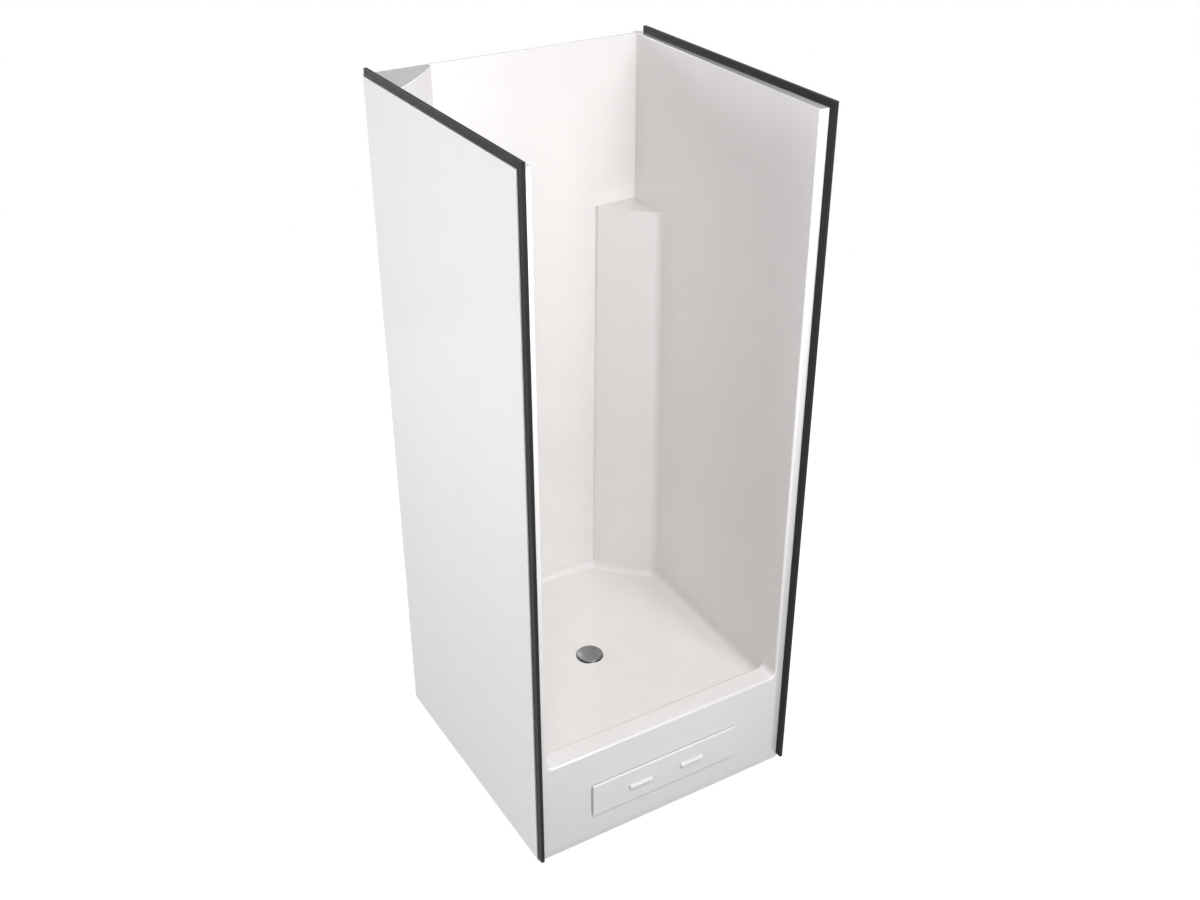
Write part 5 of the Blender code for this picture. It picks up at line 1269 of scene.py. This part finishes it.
def sweep_tree() -> bpy.types.NodeTree:
    """Return the tree that draws out a hollow bar from its section and slants both ends.

    Returns:
        A geometry tree with the bar's length and the slant of each end as inputs.
    """
    tree = bpy.data.node_groups.new("drawn_bar", "GeometryNodeTree")
    face = tree.interface
    face.new_socket("Section", in_out="INPUT", socket_type="NodeSocketGeometry")
    for name in ("Length", "Start slant", "End slant"):
        face.new_socket(name, in_out="INPUT", socket_type="NodeSocketFloat")
    face.new_socket("Finish", in_out="INPUT", socket_type="NodeSocketMaterial")
    face.new_socket("Bar", in_out="OUTPUT", socket_type="NodeSocketGeometry")
    given = add_node(tree, "NodeGroupInput").outputs
    curve = add_node(tree, "GeometryNodeMeshToCurve", {}, {"Mesh": given["Section"]}).outputs["Curve"]
    filled = add_node(tree, "GeometryNodeFillCurve", {"mode": "NGONS"}, {"Curve": curve}).outputs["Mesh"]
    filled = add_node(tree, "GeometryNodeFlipFaces", {}, {"Mesh": filled}).outputs["Mesh"]
    offset = add_node(tree, "ShaderNodeCombineXYZ", {}, {"Z": given["Length"]}).outputs["Vector"]
    once = {"Individual": False, "Offset Scale": 1.0}
    drawn = add_node(tree, "GeometryNodeExtrudeMesh", once, {"Mesh": filled, "Offset": offset})
    turned = add_node(tree, "GeometryNodeFlipFaces", {}, {"Mesh": filled}).outputs["Mesh"]
    both = add_node(tree, "GeometryNodeJoinGeometry")
    tree.links.new(drawn.outputs["Mesh"], both.inputs[0])
    tree.links.new(turned, both.inputs[0])
    closed = add_node(tree, "GeometryNodeMergeByDistance", {"Distance": MERGE}, {"Geometry": both.outputs[0]})
    spot = add_node(tree, "GeometryNodeInputPosition").outputs[0]
    spot = add_node(tree, "ShaderNodeSeparateXYZ", {}, {"Vector": spot}).outputs
    beyond = {"operation": "GREATER_THAN", 1: MILLIMETRE}
    far = add_node(tree, "ShaderNodeMath", beyond, {0: spot["Z"]}).outputs[0]
    slants = {0: far, 2: given["Start slant"], 3: given["End slant"]}
    slant = add_node(tree, "ShaderNodeMix", {"data_type": "FLOAT"}, slants).outputs[0]
    shift = add_node(tree, "ShaderNodeMath", {"operation": "MULTIPLY"}, {0: slant, 1: spot["Y"]})
    shift = add_node(tree, "ShaderNodeCombineXYZ", {}, {"Z": shift.outputs[0]}).outputs["Vector"]
    placed = add_node(tree, "GeometryNodeSetPosition", {}, {"Geometry": closed.outputs[0], "Offset": shift})
    real = add_node(tree, "GeometryNodeRealizeInstances", {}, {"Geometry": placed.outputs[0]}).outputs[0]
    dressed = add_node(tree, "GeometryNodeSetMaterial", {}, {"Geometry": real, "Material": given["Finish"]})
    add_node(tree, "NodeGroupOutput", {}, {"Bar": dressed.outputs[0]})
    return tree


def grow(obj: bpy.types.Object, tree: bpy.types.NodeTree, inputs: dict[str, object]) -> bpy.types.Object:
    """Run a geometry tree on an object and keep its plain mesh.

    Args:
        obj: the object whose mesh feeds the tree.
        tree: the geometry tree.
        inputs: the tree's named inputs.

    Returns:
        The object with the finished mesh and no modifier.
    """
    modifier = obj.modifiers.new(tree.name, "NODES")
    modifier.node_group = tree
    for item in tree.interface.items_tree:
        if item.in_out == "INPUT" and item.name in inputs:
            modifier[item.identifier] = inputs[item.name]
    obj.update_tag()
    mesh = evaluated(obj)
    obj.modifiers.clear()
    obj.data = mesh
    return obj


@dataclass(frozen=True)
class EdgeBars(Shell):
    """Dark hollow bars on the top and front edges of both sides, mitred at the corner."""

    thickness: float = 0.0105
    reach: float = 0.023
    rise: float = 0.021
    wall: float = 0.0016
    edge_radius: float = 0.0012
    hollow_radius: float = 0.0006
    tongue: float = 0.0036
    tongue_depth: float = 0.005
    cap: float = 0.0023

    def build(self) -> None:
        """Draw out and dress the four bars."""
        tree = sweep_tree()
        slope = self.rise / self.reach
        low = self.bar_foot + self.cap
        start = self.back - self.bar_back_setback - self.cap
        # Local X runs across the bar, local Y out from the shell, local Z along the bar.
        for side, word in SIDES.items():
            across = (1, 0, 0, side * self.bar_x)
            upright = Matrix((across, (0, -1, 0, self.front), (0, 0, 1, low), (0, 0, 0, 1)))
            front = self.section("front_bar_" + word, self.reach)
            self.draw(front, tree, self.top - low, slope, upright)
            dress(front, POWDER_COAT, "cabin", ["bar_%s_front" % word])
            level = Matrix((across, (0, 0, -1, start), (0, 1, 0, self.top), (0, 0, 0, 1)))
            top = self.section("top_bar_" + word, self.rise)
            self.draw(top, tree, start - self.front, 1 / slope, level)
            dress(top, POWDER_COAT, "cabin", ["bar_%s_top" % word])

    def draw(
        self, bar: bpy.types.Object, tree: bpy.types.NodeTree, length: float, slant: float, axes: Matrix
    ) -> None:
        """Draw a section out into a bar and put it in its place.

        Args:
            bar: the section, which becomes the bar.
            tree: the tree that draws it out.
            length: length along the face that lies on the shell.
            slant: rise of the mitred end over the bar's height.
            axes: the bar's place.
        """
        inputs = {"Length": length, "Start slant": 0.0, "End slant": slant, "Finish": POWDER_COAT.material()}
        grow(bar, tree, inputs)
        bar.data.transform(axes)

    def section(self, name: str, height: float) -> bpy.types.Object:
        """Return the edges of a bar's section: outline with its tongue, and the hollow.

        Args:
            name: the object's name.
            height: how far the bar stands out from the shell.

        Returns:
            An object with the section's edges only.
        """
        half = self.thickness / 2
        tongue = self.tongue / 2
        corners = [(-half, self.play), (-tongue, self.play), (-tongue, -self.tongue_depth)]
        corners += [(tongue, -self.tongue_depth), (tongue, self.play), (half, self.play)]
        corners += [(half, height), (-half, height)]
        radii = [self.edge_radius, 0, 0, 0, 0, self.edge_radius, self.edge_radius, self.edge_radius]
        middle = (0, (self.play + height) / 2)
        inner = rectangle(self.thickness - 2 * self.wall, height - self.play - 2 * self.wall, middle)
        bm = bmesh.new()
        for outline in (rounded(corners, radii, 5), rounded(inner, [self.hollow_radius] * 4, 3)):
            verts = [bm.verts.new((x, y, 0)) for x, y in outline]
            for first, second in zip(verts, verts[1:] + verts[:1]):
                bm.edges.new((first, second))
        mesh = bpy.data.meshes.new(name)
        bm.to_mesh(mesh)
        bm.free()
        obj = bpy.data.objects.new(name, mesh)
        bpy.context.scene.collection.objects.link(obj)
        return obj


# ---------------------------------------------------------------- apron panel


@dataclass(frozen=True)
class ApronPanel(Shell):
    """Lift-off panel in the apron with two finger grips."""

    width: float = 0.518
    height: float = 0.118
    middle: float = 0.177
    back_face: float = -0.4411
    thickness: float = 0.006
    corner: float = 0.006
    soft: float = 0.002
    hole_width: float = 0.482
    hole_height: float = 0.082
    rim_depth: float = 0.0095
    rim_clearance: float = 0.003
    rim_wall: float = 0.003
    rim_corner: float = 0.0105
    soft_steps: int = 6
    grip_length: float = 0.078
    grip_height: float = 0.010
    grip_depth: float = 0.009
    grip_spacing: float = 0.184
    grip_wall: float = 0.0025
    grip_groove: float = 0.004
    grip_soft: float = 0.0032
    grip_lip: float = 0.0008
    grip_inner: float = 0.0012
    grip_end: float = 0.002

    def build(self) -> None:
        """Shape and dress the panel and its grips."""
        dress(self.plate(), GELCOAT, "panel", ["access_panel"])
        for side, word in SIDES.items():
            dress(self.grip(side), GELCOAT, "panel", ["grip_" + word])

    def outline(self, width: float, height: float, radius: float) -> list[Point]:
        """Return an upright rounded outline round the panel's middle."""
        return rounded(rectangle(width, height, (0, self.middle)), [radius] * 4, 8)

    def plate(self) -> bpy.types.Object:
        """Return the panel with its soft front edge, locating rim and magnet seats.

        Returns:
            The panel, all in one.
        """
        sections = [[(x, self.back_face, z) for x, z in self.outline(self.width, self.height, self.corner)]]
        for index in range(self.soft_steps + 1):
            angle = math.pi / 2 * index / self.soft_steps
            inset = self.soft * (1 - math.cos(angle))
            y = self.back_face - self.thickness + self.soft * (1 - math.sin(angle))
            ring = self.outline(self.width - 2 * inset, self.height - 2 * inset, self.corner - inset)
            sections.append([(x, y, z) for x, z in ring])
        panel = loft("apron_panel", sections)
        rooted = -self.back_face + self.thickness / 2
        width, height = self.hole_width - self.rim_clearance, self.hole_height - self.rim_clearance
        outer = self.outline(width, height, self.rim_corner)
        walls = 2 * self.rim_wall
        inner = self.outline(width - walls, height - walls, self.rim_corner - self.rim_wall)
        tools = [plate("panel_rim", [outer, inner], -self.back_face - self.rim_depth, rooted, FACING_FRONT)]
        for side in SIDES:
            magnet_low, magnet_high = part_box("magnet_" + SIDES[side])
            low = (magnet_low.x, -rooted, magnet_low.z)
            high = (magnet_high.x, magnet_low.y - self.play, magnet_high.z)
            tools.append(block("magnet_seat_" + SIDES[side], low, high))
        return join(panel, *tools)

    def grip(self, side: int) -> bpy.types.Object:
        """Return a finger grip: a soft lip with a groove along its underside.

        Args:
            side: minus one for left, one for right.

        Returns:
            The grip.
        """
        face = self.back_face - self.thickness
        front = face - self.grip_depth - self.play
        top = self.middle + self.grip_height / 2
        bottom = self.middle - self.grip_height / 2
        roof = bottom + self.grip_groove
        corners = [(face, top), (front, top), (front, bottom), (front + self.grip_wall, bottom)]
        corners += [(front + self.grip_wall, roof), (face - self.grip_wall, roof)]
        corners += [(face - self.grip_wall, bottom), (face, bottom)]
        radii = [0, self.grip_soft, self.grip_lip, 0, self.grip_inner, self.grip_inner, 0, 0]
        outline = rounded(corners, radii, 8)
        middle = side * self.grip_spacing / 2
        half = self.grip_length / 2
        name = "finger_grip_" + SIDES[side]
        grip = plate(name, [outline], middle - half, middle + half, FACING_SIDE)

        def ends(first: Vector, second: Vector) -> bool:
            """Tell whether an edge bounds an end of the lip."""
            at_end = min(abs(first.x - middle), abs(second.x - middle)) > half - MERGE
            outside = max(first.y, second.y) < face - MERGE and min(first.z, second.z) > roof
            return at_end and abs(first.x - second.x) < MERGE and outside

        return soften(grip, ends, self.grip_end, 5)


# ---------------------------------------------------------------- waste


@dataclass(frozen=True)
class Waste:
    """Domed cover of the floor waste; its flange stays a plain solid."""

    y: float = 0.0115
    floor: float = 0.313
    radius: float = 0.042
    thickness: float = 0.0022
    dome: float = 0.0055
    lift: float = 0.003
    edge: float = 0.0008
    inner_share: float = 0.96
    stem: float = 0.0035
    dome_steps: int = 16

    def build(self) -> None:
        """Shape and dress the domed cover."""
        low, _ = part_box("drain_cover")
        quarter = [math.pi / 2 * index / self.dome_steps for index in range(self.dome_steps + 1)]
        shoulder = self.floor + self.lift + self.thickness
        upper = [(self.radius * math.sin(t), shoulder + self.dome * math.cos(t)) for t in quarter]
        lower = [(r * self.inner_share, z - self.thickness) for r, z in reversed(upper)]
        rim = upper[-1]
        upper[-1] = (rim[0] - self.edge / 2, rim[1] - self.edge / 4)
        inside = [point for point in lower if point[0] > self.stem]
        profile = [*upper, (rim[0], rim[1] - self.thickness / 2), *inside]
        profile += [(self.stem, lower[-1][1]), (self.stem, low.z), (0, low.z)]
        cover = lathe("domed_cover", profile, (0, self.y, 0))
        dress(cover, SATIN_STEEL, "drain_top", ["drain_cover"])


# ---------------------------------------------------------------- plain solids that keep their shape


PLAIN = {
    POWDER_COAT: ("bar_cap_left_foot", "bar_cap_left_back", "bar_cap_right_foot", "bar_cap_right_back"),
    FOAM: ("core_left", "core_right", "core_back"),
    PLYWOOD: ("floor_deck",),
    FRAME_PAINT: ("support_frame",),
    ZINC: (
        *["foot_%s_%s" % (end, word) for end in ("front", "back") for word in SIDES.values()],
        *["locknut_%s_%s" % (end, word) for end in ("front", "back") for word in SIDES.values()],
        *["grip_screw_%s_%s" % (word, end) for word in SIDES.values() for end in ("a", "b")],
        "strike_left",
        "strike_right",
    ),
    SATIN_STEEL: ("drain_body",),
    PIPE: (
        "corner_key_left",
        "corner_key_right",
        "drain_backnut",
        "trap_body",
        "outlet_nut",
        "dip_tube",
        "access_frame",
    ),
    RUBBER: ("rim_seal", "drain_seal", "outlet_seal", "panel_gasket"),
    MAGNET: ("magnet_left", "magnet_right"),
}


def dress_plain() -> None:
    """Give every solid that stays as it is the finish of what it is made of."""
    for finish, names in PLAIN.items():
        for name in names:
            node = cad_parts[name]
            node.data.materials.clear()
            node.data.materials.append(finish.material())
            log.info("%s keeps its solid in %s", name, finish.name)


# ---------------------------------------------------------------- studio


@dataclass(frozen=True)
class Lamp:
    """A square soft lamp aimed at a spot."""

    name: str
    place: Spot
    size: float
    watts: float
    aim: Spot = (0.0, 0.0, 1.0)

    def hang(self) -> None:
        """Hang the lamp."""
        data = bpy.data.lights.new(self.name, "AREA")
        data.energy = self.watts
        data.size = self.size
        lamp = bpy.data.objects.new(self.name, data)
        lamp.location = self.place
        way = Vector(self.aim) - Vector(self.place)
        lamp.rotation_euler = way.to_track_quat("-Z", "Y").to_euler()
        bpy.context.scene.collection.objects.link(lamp)


@dataclass(frozen=True)
class Studio:
    """Pale floor, soft lamps and the camera at the photograph's angle."""

    eye: Spot = (-1.837, -3.1092, 3.219)
    yaw: float = 31.017
    pitch: float = 30.480
    lens: float = 42.308
    floor_colour: str = "#8C8C8C"
    floor_lift: float = 0.86
    floor_reach: float = 3.2
    floor_depth: float = 0.02
    shade_reach: float = 0.38
    shade_rise: float = 0.0004
    floor_roughness: float = 0.9
    sky: float = 0.16
    sensor: float = 36.0
    lamps: tuple[Lamp, ...] = (
        Lamp("front_softbox", (0.3, -2.2, 2.8), 1.2, 63.0),
        Lamp("front_left_softbox", (-1.3, -2.4, 3.2), 1.2, 40.0),
        Lamp("front_low_softbox", (0.8, -3.2, 0.8), 1.2, 10.0),
        Lamp("left_softbox", (-2.3, -0.2, 2.0), 1.2, 29.0),
        Lamp("back_left_softbox", (-1.3, 3.6, 2.5), 1.4, 70.0),
        Lamp("back_right_softbox", (2.6, 3.0, 1.6), 1.4, 40.0),
        Lamp("right_softbox", (3.6, -0.4, 1.4), 1.6, 50.0),
    )

    def build(self) -> None:
        """Set up camera, lamps, world and floor."""
        self.camera()
        for lamp in self.lamps:
            lamp.hang()
        self.world()
        self.floor()
        bpy.context.scene.view_settings.view_transform = "Standard"

    def camera(self) -> None:
        """Place the camera."""
        data = bpy.data.cameras.new("camera")
        data.sensor_fit = "HORIZONTAL"
        data.sensor_width = self.sensor
        data.lens = self.lens
        data.clip_end = 200.0
        camera = bpy.data.objects.new("camera", data)
        camera.location = self.eye
        camera.rotation_euler = (math.radians(90 - self.pitch), 0, math.radians(-self.yaw))
        bpy.context.scene.collection.objects.link(camera)
        bpy.context.scene.camera = camera

    def background_rays(self, tree: bpy.types.NodeTree) -> bpy.types.NodeSocket:
        """Tell the rays that show the background: direct, mirrored and through glass.

        Args:
            tree: the tree that asks.

        Returns:
            A socket that is one for these rays and nothing for the others.
        """
        path = add_node(tree, "ShaderNodeLightPath").outputs
        either = {"operation": "MAXIMUM"}
        rays = {0: path["Is Camera Ray"], 1: path["Is Transmission Ray"]}
        seen = add_node(tree, "ShaderNodeMath", either, rays).outputs[0]
        return add_node(tree, "ShaderNodeMath", either, {0: seen, 1: path["Is Glossy Ray"]}).outputs[0]

    def world(self) -> None:
        """Light the scene evenly, and show white behind it."""
        world = bpy.data.worlds.new("studio")
        bpy.context.scene.world = world
        world.use_nodes = True
        tree = world.node_tree
        tree.nodes.clear()
        white = (1.0, 1.0, 1.0, 1.0)
        soft = add_node(tree, "ShaderNodeBackground", {"Color": white, "Strength": self.sky}).outputs[0]
        plain = add_node(tree, "ShaderNodeBackground", {"Color": white, "Strength": 1.0}).outputs[0]
        mix = add_node(tree, "ShaderNodeMixShader", {}, {0: self.background_rays(tree), 1: soft, 2: plain})
        add_node(tree, "ShaderNodeOutputWorld", {}, {"Surface": mix.outputs[0]})

    def floor(self) -> None:
        """Lay a pale floor that looks white behind the cabin, and stays in its shade below it."""
        self.lay(self.slab("studio_floor", self.floor_reach, 0.0), self.floor_lift)
        self.lay(self.slab("studio_floor_shade", self.shade_reach, self.shade_rise), 0.0)

    def lay(self, slab: bpy.types.Object, lift: float) -> None:
        """Paint a floor slab.

        Args:
            slab: the slab's object.
            lift: light added where the floor is a background.
        """
        material = bpy.data.materials.new(slab.name)
        material.use_nodes = True
        tree = material.node_tree
        shader = tree.nodes["Principled BSDF"]
        shader.inputs["Base Color"].default_value = linear(self.floor_colour)
        shader.inputs["Roughness"].default_value = self.floor_roughness
        shader.inputs["Specular IOR Level"].default_value = 0.0
        if lift:
            shader.inputs["Emission Color"].default_value = (1, 1, 1, 1)
            rays = self.background_rays(tree)
            share = add_node(tree, "ShaderNodeMath", {"operation": "MULTIPLY", 1: lift}, {0: rays})
            tree.links.new(share.outputs[0], shader.inputs["Emission Strength"])
        slab.data.materials.append(material)

    def slab(self, name: str, reach: float, top: float) -> bpy.types.Object:
        """Return a square slab of floor.

        Args:
            name: the object's name.
            reach: distance from the middle to its sides.
            top: height of its face.

        Returns:
            The slab.
        """
        square = rectangle(2 * reach, 2 * reach)
        return loft(name, [[(x, y, z) for x, y in square] for z in (-self.floor_depth, top)])


def main() -> None:
    """Build the cabin piece by piece, then the studio."""
    dress_plain()
    BaseMoulding().build()
    Walls().build()
    Columns().build()
    EdgeBars().build()
    ApronPanel().build()
    Waste().build()
    Studio().build()


if __name__ == "__main__":
    main()
